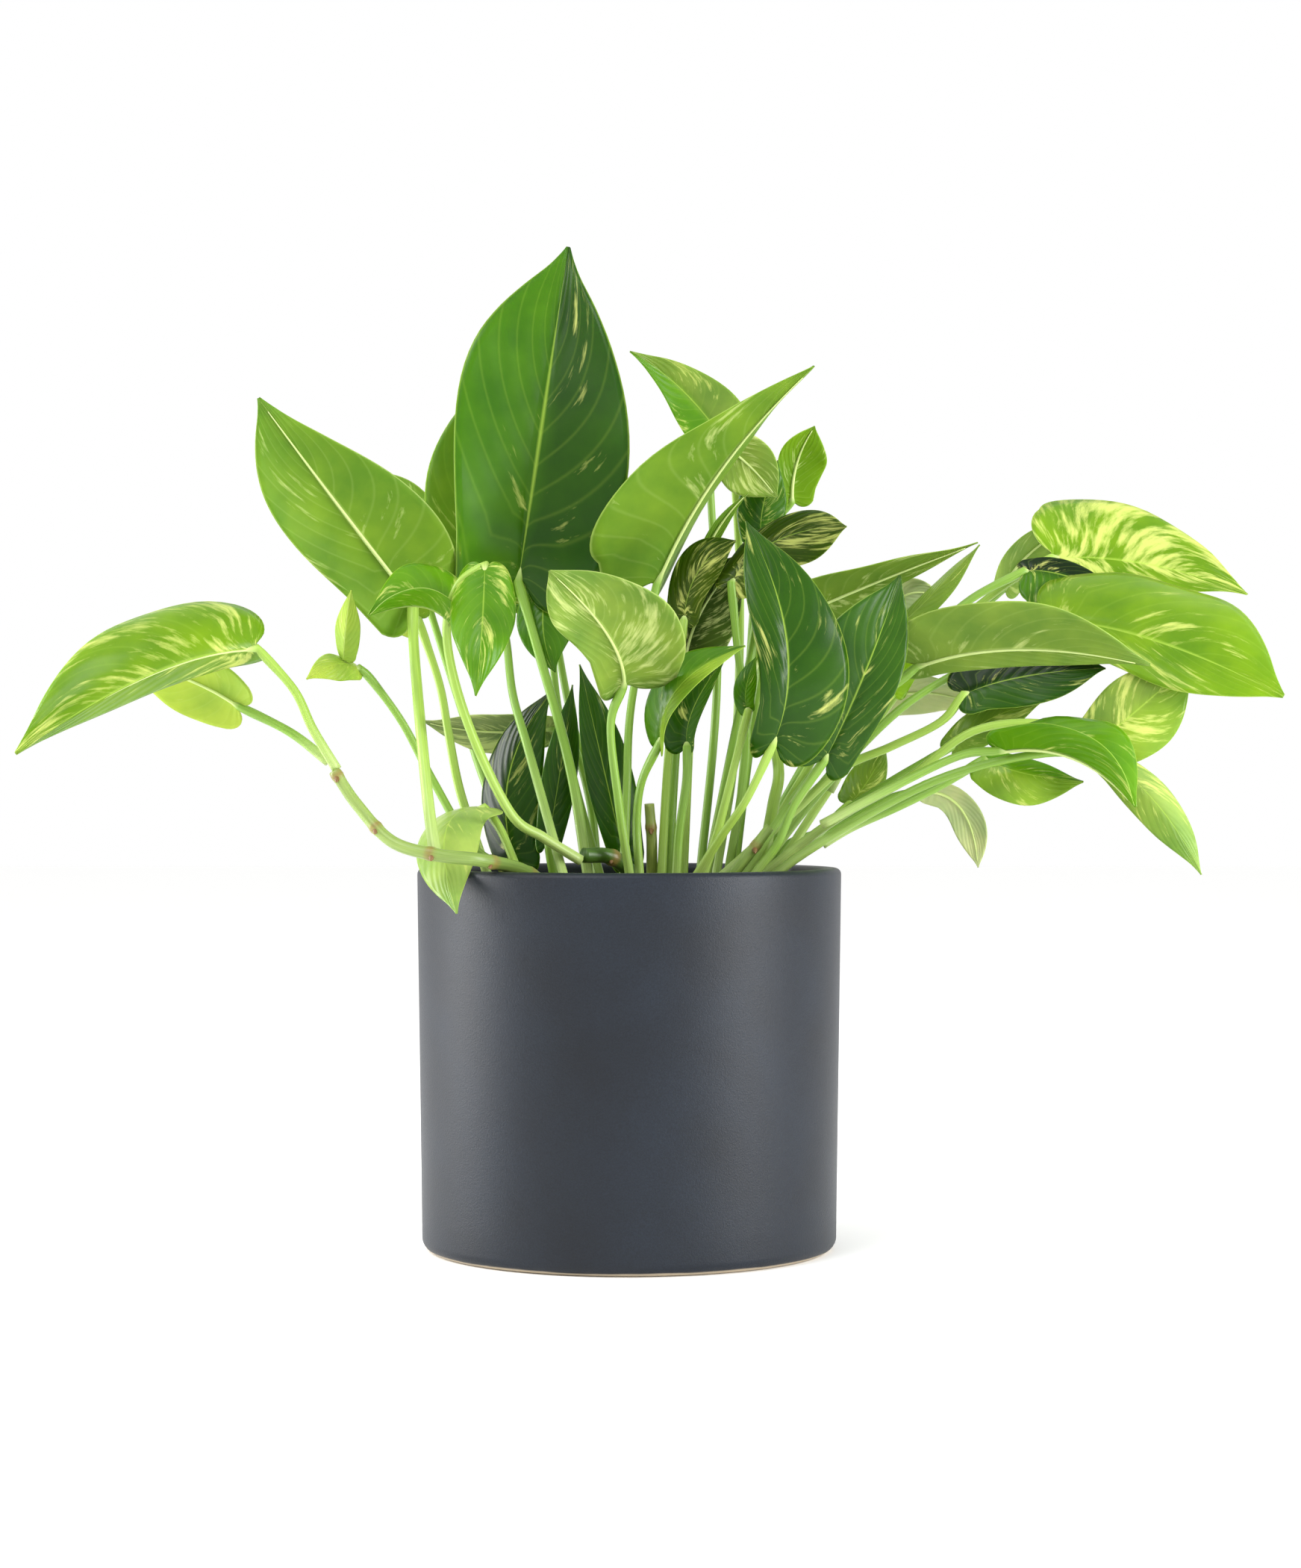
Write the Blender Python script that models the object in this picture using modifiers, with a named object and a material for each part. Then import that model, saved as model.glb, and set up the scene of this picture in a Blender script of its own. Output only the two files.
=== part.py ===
"""Potted pothos: a charcoal cylindrical ceramic pot, its soil, four short vines and fifty heart-shaped
leaves, each one solid with its stalk. Lengths in the tables are millimetres, and angles are degrees.
The origin is the middle of the pot's flat base, +Z is up, and the plant's fullest side faces -Y.
"""
import math

import bmesh
import bpy
from mathutils import Matrix, Vector

MM = 0.001

# Pot: a plain cylinder that narrows a little towards its foot.
POT_HEIGHT = 152.4
POT_RADIUS = 85.0
POT_TAPER = 2.0
POT_WALL = 8.0
POT_FLOOR = 9.0
POT_ROUNDING = 5.0
INNER_BEVEL = 6.0
RIM_ROUNDING = 2.5
ROUND_STEPS = 48

# Soil: it fills the pot to a little below the rim, domed slightly in the middle.
SOIL_EDGE = 134.0
SOIL_CROWN = 1.5
SOIL_CROWN_SHARE = 0.6
SOIL_BEVEL = 7.0
GAP = 0.3

# Leaves: one outline for all, as (distance along the midrib, half width), both in parts of the whole.
OUTLINE = (
    (0.0, 0.06), (-0.055, 0.22), (-0.07, 0.45), (-0.03, 0.68), (0.08, 0.88), (0.22, 0.99), (0.36, 0.99),
    (0.5, 0.88), (0.64, 0.68), (0.77, 0.44), (0.88, 0.21), (0.95, 0.09), (1.0, 0.02),
)
LEAF_THICKNESS = 1.0
NARROWEST = 0.6
LEAF_ROWS = 8
LEAF_COLUMNS = 5
SMALL_LEAF_LENGTH = 52.0
SMALL_LEAF_ROWS = 6
SMALL_LEAF_COLUMNS = 3
MIDRIB_STEPS = 16
SIDE_SWEEP = 1.35
MIDRIB_EASING = 1.15
STALK_BURIED = 0.09
STALK_CURVE_STEPS = 2
SOIL_CLEARANCE = 4.0
LEAST_DROP = 3.0
MOST_LEAN = 1.2
LOW_STALK = 175.0

# Each leaf: the points its stalk passes, the base, middle and tip of its midrib, where its upper side
# faces, its left and right half widths as seen from above with the tip up, how far each half is folded
# down and curled, the twist from base to tip, the taper of each half (small is full), the stalk's radii,
# on_vine if its stalk leaves a vine instead of the soil, and flap, a second lobe that stands off the first.
LEAVES = dict(
    leaf_far_left=dict(
        stalk=[(-114, -57, 195), (-121, -59, 207), (-128, -61, 222)],
        base=(-142, -62, 238), mid=(-180, -84, 227), tip=(-228, -94, 197), face=(0.05, -0.95, 0.25),
        width=(14, 32), fold=(78, -8), curl=(0, 65), taper=(0.8, 0.9), on_vine=True,
    ),
    leaf_far_left_small=dict(
        stalk=[(-119, -50, 197), (-131, -47, 206)],
        base=(-151, -44, 216), mid=(-172, -40, 227), tip=(-202, -38, 236), face=(0.1, 0.9, 0.3),
        width=(13, 14), fold=(0, 0), curl=(20, 20), taper=(0.9, 0.9), on_vine=True,
    ),
    leaf_left_young=dict(
        stalk=[(-45, -16, 151), (-62, -13, 161), (-78, -9, 187), (-90, -11, 210), (-102, -15, 227)],
        base=(-107, -18, 232), mid=(-115, -30, 233), tip=(-126, -36, 227), face=(0.3, -0.8, 0.5),
        width=(7, 8), fold=(20, 20),
        flap=dict(base=(-112, -26, 235), mid=(-111, -32, 246), tip=(-109, -30, 262), face=(0.2, 0.9, 0.3),
                  width=(6, 6), fold=(-30, -30), curl=(0, 0), twist=20),
    ),
    leaf_high_left=dict(
        stalk=[(-74, -66, 162), (-77, -56, 179), (-82, -34, 214), (-86, -10, 243)],
        base=(-87, 0, 259), mid=(-114, -24, 295), tip=(-143, -50, 335), face=(-0.25, 0.85, 0.45),
        width=(29, 25), fold=(0, 0), curl=(12, 45), twist=-10, taper=(1.15, 0.5), radii=(2.4, 2),
        on_vine=True,
    ),
    leaf_top=dict(
        stalk=[(-18, -12, 160), (-22, -9, 185), (-28, -4, 210), (-36, 3, 237)],
        base=(-45, 10, 268), mid=(-36, 4, 326), tip=(-25, 20, 405), face=(0, -1, 0.1),
        width=(37, 40), fold=(-22, -22), curl=(0, 0), twist=-15, taper=(0.6, 0.9), radii=(2.2, 1.8),
    ),
    leaf_behind_top=dict(
        stalk=[(-30, -25, 165), (-40, -10, 199), (-47, 5, 222), (-50, 14, 244)],
        base=(-54, 22, 262), mid=(-64, 28, 306), tip=(-57, 32, 355), face=(0.2, -0.95, -0.1),
        width=(21, 26), fold=(-10, -10),
    ),
    leaf_front_left=dict(
        stalk=[(-22, -31, 158), (-33, -36, 165), (-46, -42, 175), (-62, -46, 209), (-70, -50, 241),
               (-66, -58, 261)],
        base=(-55, -60, 270), mid=(-55, -84, 242), tip=(-57, -88, 219), face=(0, -0.9, 0.35),
        width=(14, 15), fold=(15, 15), curl=(30, 30), taper=(0.9, 0.9), radii=(2.2, 1.6), on_vine=True,
        flap=dict(base=(-68, -54, 247), mid=(-80, -60, 254), tip=(-99, -66, 250), face=(0, -0.85, 0.5),
                  width=(10, 26), fold=(-100, 0), curl=(0, 20), taper=(0.6, 1.2)),
    ),
    leaf_high_centre=dict(
        stalk=[(-2, -6, 156), (-1, -8, 183), (1, -7, 219)],
        base=(11, -4, 266), mid=(36, -18, 310), tip=(72, -45, 348), face=(-0.3, 0.9, 0.25),
        width=(26, 36), fold=(-62, 0), curl=(0, 15), taper=(0.7, 1.6),
    ),
    leaf_front_cream=dict(
        stalk=[(0, -28, 152), (-4, -34, 179), (-7, -40, 209)],
        base=(-2, -45, 224), mid=(-8, -72, 243), tip=(-29, -100, 265), face=(-0.25, 0.75, 0.6),
        width=(28, 14), fold=(0, 0), curl=(30, 30), taper=(0.7, 0.3),
    ),
    leaf_front_dark=dict(
        stalk=[(28, -25, 152), (36, -30, 165), (46, -36, 180)],
        base=(56, -42, 201), mid=(61, -50, 241), tip=(46, -30, 289), face=(0.1, -0.98, 0.1),
        width=(13, 25), fold=(-30, 0), curl=(60, 20), taper=(0.5, 1),
    ),
    leaf_dark_right=dict(
        stalk=[(51, -19, 152), (59, -20, 163), (66, -22, 179)],
        base=(77, -26, 195), mid=(92, -31, 228), tip=(107, -26, 268), face=(0.1, -0.95, -0.1),
        width=(24, 14), fold=(-10, -10), curl=(0, 0), taper=(0.7, 0.6),
    ),
    leaf_speckled_right=dict(
        stalk=[(40, 4, 151), (47, 0, 201), (43, 4, 246)],
        base=(41, 5, 267), mid=(59, 6, 284), tip=(87, -5, 289), face=(0, -0.9, 0.3),
        width=(10, 13), taper=(0.4, 0.4),
    ),
    leaf_speckled_centre=dict(
        stalk=[(13, 6, 151), (16, 8, 201)],
        base=(22, 4, 252), mid=(28, 4, 272), tip=(43, 4, 284), face=(0, -1, 0.1),
        width=(10, 8), taper=(0.5, 0.5),
    ),
    leaf_brown_centre=dict(
        stalk=[(16, 14, 151), (19, 14, 201)],
        base=(22, 13, 231), mid=(29, 14, 256), tip=(48, 17, 280), face=(-0.1, 0.95, 0.1),
        width=(16, 14),
    ),
    leaf_long_right=dict(
        stalk=[(43, 16, 153), (49, 16, 201)],
        base=(57, 15, 250), mid=(97, 12, 267), tip=(140, 0, 283), face=(0, 0.6, 0.8),
        width=(14, 16), fold=(0, 0), curl=(0, 0), taper=(1.5, 1.5),
    ),
    leaf_spear=dict(
        stalk=[(51, 20, 152), (60, 22, 171), (78, 23, 201)],
        base=(106, 20, 247), mid=(122, 18, 262), tip=(142, 12, 283), face=(0, -0.8, 0.6),
        width=(6, 6), fold=(35, 35), curl=(0, 0),
    ),
    leaf_right_pale=dict(
        stalk=[(65, -11, 177), (82, -10, 201), (100, -8, 220)],
        base=(115, -10, 233), mid=(154, -32, 239), tip=(203, -40, 232), face=(0, 0.8, 0.6),
        width=(8, 27), fold=(0, 0), curl=(20, 20),
    ),
    leaf_right_large=dict(
        stalk=[(52, 5, 151), (77, 6, 183), (109, 5, 216), (141, 5, 236)],
        base=(167, -2, 252), mid=(207, -20, 243), tip=(255, -40, 220), face=(0.15, -0.85, 0.5),
        width=(40, 18), fold=(-10, 0), curl=(45, 20), taper=(0.65, 0.5),
    ),
    leaf_right_marbled=dict(
        stalk=[(61, 18, 153), (87, 20, 192), (121, 22, 238), (149, 25, 264)],
        base=(173, 28, 279), mid=(213, 28, 276), tip=(251, 15, 263), face=(0, -0.9, 0.4),
        width=(34, 14), fold=(0, 0), curl=(30, 20), taper=(1.3, 1),
    ),
    leaf_right_back=dict(
        stalk=[(51, 38, 152), (82, 41, 189), (126, 43, 242)],
        base=(155, 42, 267), mid=(165, 46, 281), tip=(185, 48, 295), face=(0, 0.9, 0.4),
        width=(9, 9),
    ),
    leaf_right_folded=dict(
        stalk=[(81, 12, 183), (108, 14, 231), (136, 18, 259)],
        base=(161, 20, 273), mid=(177, 17, 271), tip=(199, 13, 262), face=(0, -0.9, 0.4),
        width=(7, 19), fold=(0, 0), curl=(0, 0), taper=(0.8, 1.3),
    ),
    leaf_right_dark=dict(
        stalk=[(65, 0, 174), (85, 0, 192), (105, -2, 201), (125, -2, 211)],
        base=(134, -2, 222), mid=(158, -4, 229), tip=(190, -10, 232), face=(0, -0.9, 0.4),
        width=(15, 13), fold=(0, 0), curl=(0, 0), taper=(0.6, 0.6),
    ),
    leaf_right_low=dict(
        stalk=[(76, -23, 170), (100, -29, 183), (129, -34, 197)],
        base=(145, -35, 199), mid=(171, -58, 196), tip=(193, -68, 177), face=(0.1, -0.85, 0.55),
        width=(27, 12), fold=(0, -110), curl=(20, 0), taper=(0.6, 0.5),
    ),
    leaf_right_hanging=dict(
        stalk=[(70, -16, 159), (120, -24, 187), (163, -31, 198)],
        base=(188, -35, 195), mid=(206, -45, 177), tip=(221, -52, 151), face=(0.2, -0.9, 0.3),
        width=(9, 10), fold=(0, 0), curl=(20, 20),
    ),
    leaf_right_quilted=dict(
        stalk=[(65, -4, 159), (86, -5, 174), (111, -8, 188), (137, -12, 207), (165, -16, 210)],
        base=(185, -20, 202), mid=(199, -25, 214), tip=(222, -25, 234), face=(0.1, -0.95, 0.2),
        width=(15, 18), fold=(0, 0), curl=(20, 20),
    ),
    leaf_right_under=dict(
        stalk=[(77, -10, 162), (89, -11, 169), (107, -13, 177), (125, -14, 186)],
        base=(141, -16, 196), mid=(157, -24, 190), tip=(179, -26, 187), face=(0, -0.9, 0.4),
        width=(8, 13),
    ),
    leaf_right_drooping=dict(
        stalk=[(58, 24, 152), (66, 25, 162), (84, 25, 168), (106, 24, 180)],
        base=(121, 22, 183), mid=(136, 22, 175), tip=(142, 18, 152), face=(0, 0.9, 0.3),
        width=(7, 7), taper=(0.5, 0.5),
    ),
    leaf_rear_low_right=dict(
        stalk=[(62, 30, 151)],
        base=(91, 38, 178), mid=(99, 40, 188), tip=(106, 40, 201), face=(0, -0.9, 0.3),
        width=(9, 7),
    ),
    leaf_rear_pale_right=dict(
        stalk=[(48, 24, 151), (66, 30, 183), (82, 33, 208)],
        base=(94, 32, 217), mid=(119, 32, 224), tip=(146, 28, 217), face=(0, 0.8, 0.6),
        width=(10, 11),
    ),
    leaf_yellow_high=dict(
        stalk=[(43, 35, 152), (48, 45, 202), (52, 48, 264), (59, 44, 292)],
        base=(67, 40, 303), mid=(69, 38, 319), tip=(76, 30, 333), face=(-0.2, 0.9, 0.1),
        width=(12, 9), taper=(0.5, 0.5),
    ),
    leaf_curled_high=dict(
        stalk=[(36, 30, 152), (44, 50, 202), (46, 55, 264), (44, 52, 308)],
        base=(41, 48, 326), mid=(22, 50, 350), tip=(0, 40, 365), face=(0, -0.95, 0.2),
        width=(14, 15), fold=(-20, -10), curl=(0, 0), taper=(1.3, 1.3),
    ),
    leaf_cream_rear=dict(
        stalk=[(29, 24, 151), (36, 30, 232)],
        base=(32, 24, 327), mid=(46, 24, 319), tip=(60, 20, 303), face=(0, 0.9, 0.3),
        width=(13, 12), taper=(0.5, 0.5),
    ),
    leaf_dark_rear=dict(
        stalk=[(32, 20, 152), (42, 28, 201), (51, 32, 247)],
        base=(54, 30, 287), mid=(55, 30, 301), tip=(61, 30, 319), face=(0, -1, 0),
        width=(11, 10),
    ),
    leaf_narrow_rear=dict(
        stalk=[(22, 18, 151), (25, 20, 216)],
        base=(28, 20, 273), mid=(36, 16, 290), tip=(48, 14, 304), face=(0, 0.9, 0.3),
        width=(3, 3),
    ),
    leaf_small_glossy=dict(
        stalk=[(-13, 14, 153), (-23, 19, 189), (-30, 20, 223)],
        base=(-33, 16, 268), mid=(-35, 8, 249), tip=(-30, 6, 231), face=(0, -0.9, 0.3),
        width=(14, 11), radii=(1.8, 1.4),
    ),
    leaf_upright_dark=dict(
        stalk=[(2, 6, 141)],
        base=(-2, 4, 156), mid=(-11, 0, 195), tip=(-20, 0, 234), face=(0.3, -0.95, 0),
        width=(8, 13),
    ),
    leaf_cupped_dark=dict(
        stalk=[(-37, 8, 141)],
        base=(-46, 12, 153), mid=(-49, 12, 189), tip=(-31, 8, 224), face=(-0.3, -0.9, 0),
        width=(14, 14), fold=(20, 20),
    ),
    leaf_narrow_dark=dict(
        stalk=[(-30, 12, 144)],
        base=(-33, 10, 162), mid=(-28, 10, 192), tip=(-23, 6, 226), face=(0.2, -0.9, 0),
        width=(7, 8),
    ),
    leaf_striped_rear=dict(
        stalk=[(-13, 26, 146), (-16, 29, 177), (-23, 31, 201)],
        base=(-32, 32, 209), mid=(-60, 33, 208), tip=(-85, 28, 212), face=(0, 0.8, 0.6),
        width=(11, 10),
    ),
    leaf_over_rim=dict(
        stalk=[(-42, -30, 148), (-50, -26, 167)],
        base=(-57, -22, 177), mid=(-71, -42, 168), tip=(-65, -74, 137), face=(-0.3, -0.8, 0.5),
        width=(14, 13),
    ),
    leaf_front_folded=dict(
        stalk=[(4, -21, 152), (3, -23, 171), (5, -27, 187)],
        base=(12, -32, 202), mid=(20, -45, 224), tip=(45, -55, 239), face=(-0.3, -0.85, 0.4),
        width=(14, 8), fold=(0, -25), curl=(20, 0), taper=(1, 0.6),
    ),
    leaf_black_green=dict(
        stalk=[(19, -5, 152), (20, -6, 167), (23, -8, 189)],
        base=(23, -10, 201), mid=(26, -12, 217), tip=(39, -12, 237), face=(0, -1, 0),
        width=(12, 4),
    ),
    leaf_small_centre=dict(
        stalk=[(30, -18, 152), (35, -20, 167), (41, -24, 191)],
        base=(47, -28, 215), mid=(46, -28, 223), tip=(50, -25, 236), face=(0, -0.9, 0.2),
        width=(5, 4),
    ),
    leaf_small_yellow=dict(
        stalk=[(47, -7, 152), (68, -5, 183), (92, 3, 210)],
        base=(106, 6, 222), mid=(109, 6, 233), tip=(119, 2, 252), face=(0, -0.9, 0.2),
        width=(8, 8),
    ),
    leaf_small_grey=dict(
        stalk=[(48, 30, 152), (74, 38, 198)],
        base=(103, 28, 253), mid=(114, 28, 264), tip=(128, 26, 262), face=(0, 0.9, 0.3),
        width=(8, 8),
    ),
    leaf_left_rear=dict(
        stalk=[(-59, -2, 156), (-68, 0, 183), (-73, 4, 207), (-77, 9, 227)],
        base=(-86, 16, 253), mid=(-101, 16, 265), tip=(-114, 14, 280), face=(0, -1, 0),
        width=(12, 9),
    ),
    leaf_right_shaded=dict(
        stalk=[(66, 4, 156), (83, 5, 172), (107, 5, 188)],
        base=(130, 4, 201), mid=(145, 4, 212), tip=(167, 0, 220), face=(0, -0.9, 0.4),
        width=(8, 9),
    ),
    leaf_rear_tall=dict(
        stalk=[(-4, 35, 151), (-23, 48, 208)],
        base=(-34, 58, 264), mid=(-32, 72, 300), tip=(-25, 80, 342), face=(0.1, 0.9, 0.35),
        width=(28, 28), fold=(-15, -15),
    ),
    leaf_rear_middle=dict(
        stalk=[(53, 12, 151), (58, 13, 177), (60, 18, 196)],
        base=(51, 66, 233), mid=(59, 84, 250), tip=(73, 104, 270), face=(0.2, 0.7, 0.7),
        width=(22, 22), fold=(-10, -10), radii=(3.2, 2.2),
    ),
    leaf_rear_left=dict(
        stalk=[(-44, 20, 150), (-60, 36, 187), (-70, 48, 216)],
        base=(-89, 50, 276), mid=(-108, 64, 296), tip=(-134, 70, 316), face=(-0.4, 0.8, 0.4),
        width=(24, 24), fold=(-10, -10),
    ),
)

# Vines: stems that leave the soil and carry leaves at their nodes.
VINES = dict(
    vine_left=dict(
        points=[(-24, -20, 139), (-40, -46, 152), (-56, -69, 157), (-72, -73, 159), (-90, -66, 164),
                (-104, -59, 178), (-113, -57, 191)],
        radii=(2.8, 2.2),
    ),
    vine_front=dict(points=[(11, -4, 139), (-5, -19, 156), (-18, -27, 158)], radii=(3.2, 3.0)),
    vine_centre=dict(points=[(9, 12, 139), (9, 8, 162), (8, 6, 178)], radii=(2.4, 2.0)),
    vine_right=dict(points=[(31, -12, 139), (42, -15, 151), (56, -16, 169)], radii=(2.4, 2.0)),
)

COLOURS = dict(
    pot=(0.030, 0.036, 0.048),
    soil=(0.045, 0.028, 0.018),
    vine=(0.160, 0.300, 0.060),
    leaf=(0.100, 0.270, 0.025),
)


def vector(point):
    """A table's point as a vector in millimetres."""
    return Vector([float(value) for value in point])


def material(name, colour, roughness):
    made = bpy.data.materials.new(name)
    made.use_nodes = True
    shader = made.node_tree.nodes["Principled BSDF"]
    shader.inputs["Base Color"].default_value = (*colour, 1.0)
    shader.inputs["Roughness"].default_value = roughness
    shader.inputs["Metallic"].default_value = 0.0
    return made


def add_object(name, mesh, collection, made_of=None):
    """Puts a mesh given in millimetres in the collection, at real size."""
    mesh.transform(Matrix.Scale(MM, 4))
    mesh.shade_smooth()
    mesh.set_sharp_from_angle(angle=math.radians(40))
    if made_of:
        mesh.materials.clear()
        mesh.materials.append(made_of)
    placed = bpy.data.objects.new(name, mesh)
    collection.objects.link(placed)
    return placed


def mesh_from(shape, name):
    mesh = bpy.data.meshes.new(name)
    shape.to_mesh(mesh)
    shape.free()
    return mesh


# --- Pot and soil -------------------------------------------------------------------------------------


def arc(centre, radius, start, end, steps=3):
    """Points (r, z) of an arc of the profile from one angle to another."""
    turns = [math.radians(start + (end - start) * step / steps) for step in range(steps + 1)]
    return [(centre[0] + radius * math.cos(turn), centre[1] + radius * math.sin(turn)) for turn in turns]


def turned(name, profile, collection, made_of):
    """A solid of revolution about Z from an (r, z) profile that runs down its outer side."""
    shape = bmesh.new()
    points = [shape.verts.new((radius, 0.0, height)) for radius, height in profile]
    for first, second in zip(points, points[1:]):
        shape.edges.new((first, second))
    placed = add_object(name, mesh_from(shape, name), collection, made_of)
    screw = placed.modifiers.new("Turn", "SCREW")
    screw.steps = ROUND_STEPS
    screw.render_steps = ROUND_STEPS
    screw.use_merge_vertices = True
    screw.merge_threshold = 0.00001
    screw.use_smooth_shade = True
    return placed


def build_pot(collection, made_of):
    inner = POT_RADIUS - POT_WALL
    foot = POT_RADIUS - POT_TAPER
    rim_centre = POT_HEIGHT - RIM_ROUNDING
    profile = [(0.0, POT_FLOOR), (inner - INNER_BEVEL, POT_FLOOR), (inner, POT_FLOOR + INNER_BEVEL)]
    profile += arc((inner + RIM_ROUNDING, rim_centre), RIM_ROUNDING, 180, 90)
    profile += arc((POT_RADIUS - RIM_ROUNDING, rim_centre), RIM_ROUNDING, 90, 0)
    profile += arc((foot - POT_ROUNDING, POT_ROUNDING), POT_ROUNDING, 0, -90)
    profile += [(0.0, 0.0)]
    return turned("pot", profile, collection, made_of)


def build_soil(collection, made_of):
    side = POT_RADIUS - POT_WALL - GAP
    bottom = POT_FLOOR + GAP
    profile = [
        (0.0, SOIL_EDGE + SOIL_CROWN), (side * SOIL_CROWN_SHARE, SOIL_EDGE + SOIL_CROWN),
        (side, SOIL_EDGE), (side, bottom + SOIL_BEVEL), (side - SOIL_BEVEL, bottom), (0.0, bottom),
    ]
    return turned("soil", profile, collection, made_of)


# --- Stems --------------------------------------------------------------------------------------------


def rooted(points):
    """Carries a stalk that starts low above the pot on down to just above the soil."""
    first, second = points[0], points[1]
    start = SOIL_EDGE + SOIL_CROWN + SOIL_CLEARANCE
    over_soil = math.hypot(first.x, first.y) < POT_RADIUS - POT_WALL
    if not over_soil or first.z > LOW_STALK or first.z < start + LEAST_DROP:
        return points
    run = (first - second) / max(second.z - first.z, 0.5)
    run.z = 0.0
    run = run * min(1.0, MOST_LEAN / max(run.length, 0.001))
    foot = first + run * (first.z - start)
    foot.z = start
    return [foot] + points


def stem_mesh(name, points, radii):
    """A tapering round stem through the points, as a closed mesh in millimetres."""
    curve = bpy.data.curves.new(name, "CURVE")
    curve.dimensions = "3D"
    curve.resolution_u = STALK_CURVE_STEPS
    curve.bevel_depth = 1.0
    curve.bevel_resolution = 1
    curve.use_fill_caps = True
    spline = curve.splines.new("BEZIER")
    spline.bezier_points.add(len(points) - 1)
    for index, (knot, point) in enumerate(zip(spline.bezier_points, points)):
        knot.co = point
        knot.handle_left_type = knot.handle_right_type = "AUTO"
        along = index / (len(points) - 1)
        knot.radius = radii[0] + (radii[1] - radii[0]) * along
    guide = bpy.data.objects.new(name, curve)
    bpy.context.scene.collection.objects.link(guide)
    bpy.context.view_layer.update()
    evaluated = guide.evaluated_get(bpy.context.evaluated_depsgraph_get())
    mesh = bpy.data.meshes.new_from_object(evaluated)
    bpy.data.objects.remove(guide)
    bpy.data.curves.remove(curve)
    shape = bmesh.new()
    shape.from_mesh(mesh)
    bmesh.ops.remove_doubles(shape, verts=shape.verts, dist=0.001)
    shape.to_mesh(mesh)
    shape.free()
    return mesh


# --- Leaves -------------------------------------------------------------------------------------------


def outline_at(along):
    """The outline's (distance, half width) at a share of its length, by Catmull-Rom through its points."""
    place = along * (len(OUTLINE) - 1)
    index = min(int(place), len(OUTLINE) - 2)
    step = place - index
    near = [OUTLINE[min(max(index + shift, 0), len(OUTLINE) - 1)] for shift in (-1, 0, 1, 2)]
    values = []
    for before, start, end, after in zip(*near):
        bend = 2 * before - 5 * start + 4 * end - after
        turn = 3 * start - before - 3 * end + after
        values.append(start + 0.5 * step * (end - before + step * (bend + step * turn)))
    return values


def midrib(blade):
    """Points, directions, upper-side normals and shares of length along the midrib."""
    base, middle, tip = vector(blade["base"]), vector(blade["mid"]), vector(blade["tip"])
    points, directions = [], []
    for step in range(MIDRIB_STEPS + 1):
        t = step / MIDRIB_STEPS
        points.append((1 - t) * (1 - 2 * t) * base + 4 * t * (1 - t) * middle + t * (2 * t - 1) * tip)
        directions.append(((4 * t - 3) * base + (4 - 8 * t) * middle + (4 * t - 1) * tip).normalized())
    lengths = [0.0]
    for first, second in zip(points, points[1:]):
        lengths.append(lengths[-1] + (second - first).length)
    shares = [length / lengths[-1] for length in lengths]
    half = MIDRIB_STEPS // 2
    normals = [None] * len(points)
    normals[half] = across(vector(blade["face"]), directions[half])
    for step in range(half + 1, len(points)):
        normals[step] = across(normals[step - 1], directions[step])
    for step in range(half - 1, -1, -1):
        normals[step] = across(normals[step + 1], directions[step])
    return points, directions, normals, shares, lengths[-1]


def across(normal, direction):
    """The normal with the part along the direction taken out."""
    return (normal - direction * normal.dot(direction)).normalized()


def blade_point(blade, rib, along, aside):
    """The point of the blade at a share of its outline and from -1 (left edge) to 1 (right edge)."""
    points, directions, normals, shares, length = rib
    side = 0 if aside < 0 else 1
    reach = abs(aside)
    edge, half_width = outline_at(along)
    if edge > 0:
        edge = edge ** blade.get("taper", (0.75, 0.75))[side]
    centre = along ** MIDRIB_EASING
    distance = centre + (edge - centre) * reach ** SIDE_SWEEP
    width = blade["width"][side]
    half_width = max(half_width, NARROWEST / width)
    fold = math.radians(blade.get("fold", (10, 10))[side])
    curl = math.radians(blade.get("curl", (10, 10))[side]) or 0.001
    across_share = half_width * reach
    out = width * (math.sin(fold + curl * across_share) - math.sin(fold)) / curl
    down = width * (math.cos(fold + curl * across_share) - math.cos(fold)) / curl
    inside = min(max(distance, 0.0), 1.0)
    index = max(step for step in range(len(shares)) if shares[step] <= inside)
    index = min(index, len(shares) - 2)
    mix = (inside - shares[index]) / (shares[index + 1] - shares[index])
    point = points[index].lerp(points[index + 1], mix)
    direction = directions[index].lerp(directions[index + 1], mix).normalized()
    normal = normals[index].lerp(normals[index + 1], mix).normalized()
    turn = Matrix.Rotation(math.radians(blade.get("twist", 0)) * (inside - 0.5), 3, direction)
    normal = turn @ normal
    sideways = direction.cross(normal)
    start = directions[0] * min(distance, 0.0) * length
    return point + start + sideways * out * (1 if side else -1) + normal * down


def blade_mesh(name, blade):
    """An open sheet of the blade, right side up, to be given its thickness."""
    rib = midrib(blade)
    small = rib[-1] < SMALL_LEAF_LENGTH
    rows = SMALL_LEAF_ROWS if small else LEAF_ROWS
    columns = SMALL_LEAF_COLUMNS if small else LEAF_COLUMNS
    shape = bmesh.new()
    bmesh.ops.create_grid(shape, x_segments=columns - 1, y_segments=rows - 1, size=1.0)
    for corner in shape.verts:
        share = (corner.co.y + 1) / 2
        corner.co = blade_point(blade, rib, share, corner.co.x)
    return mesh_from(shape, name)


def add_blade(name, blade, collection, made_of):
    placed = add_object(name, blade_mesh(name, blade), collection, made_of)
    thick = placed.modifiers.new("Thickness", "SOLIDIFY")
    thick.thickness = LEAF_THICKNESS * MM
    thick.offset = 0.0
    return placed


def join_helper(target, helper):
    helper.hide_render = True
    helper.display_type = "WIRE"
    union = target.modifiers.new("Join " + helper.name, "BOOLEAN")
    union.operation = "UNION"
    union.object = helper
    union.use_self = True


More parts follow.
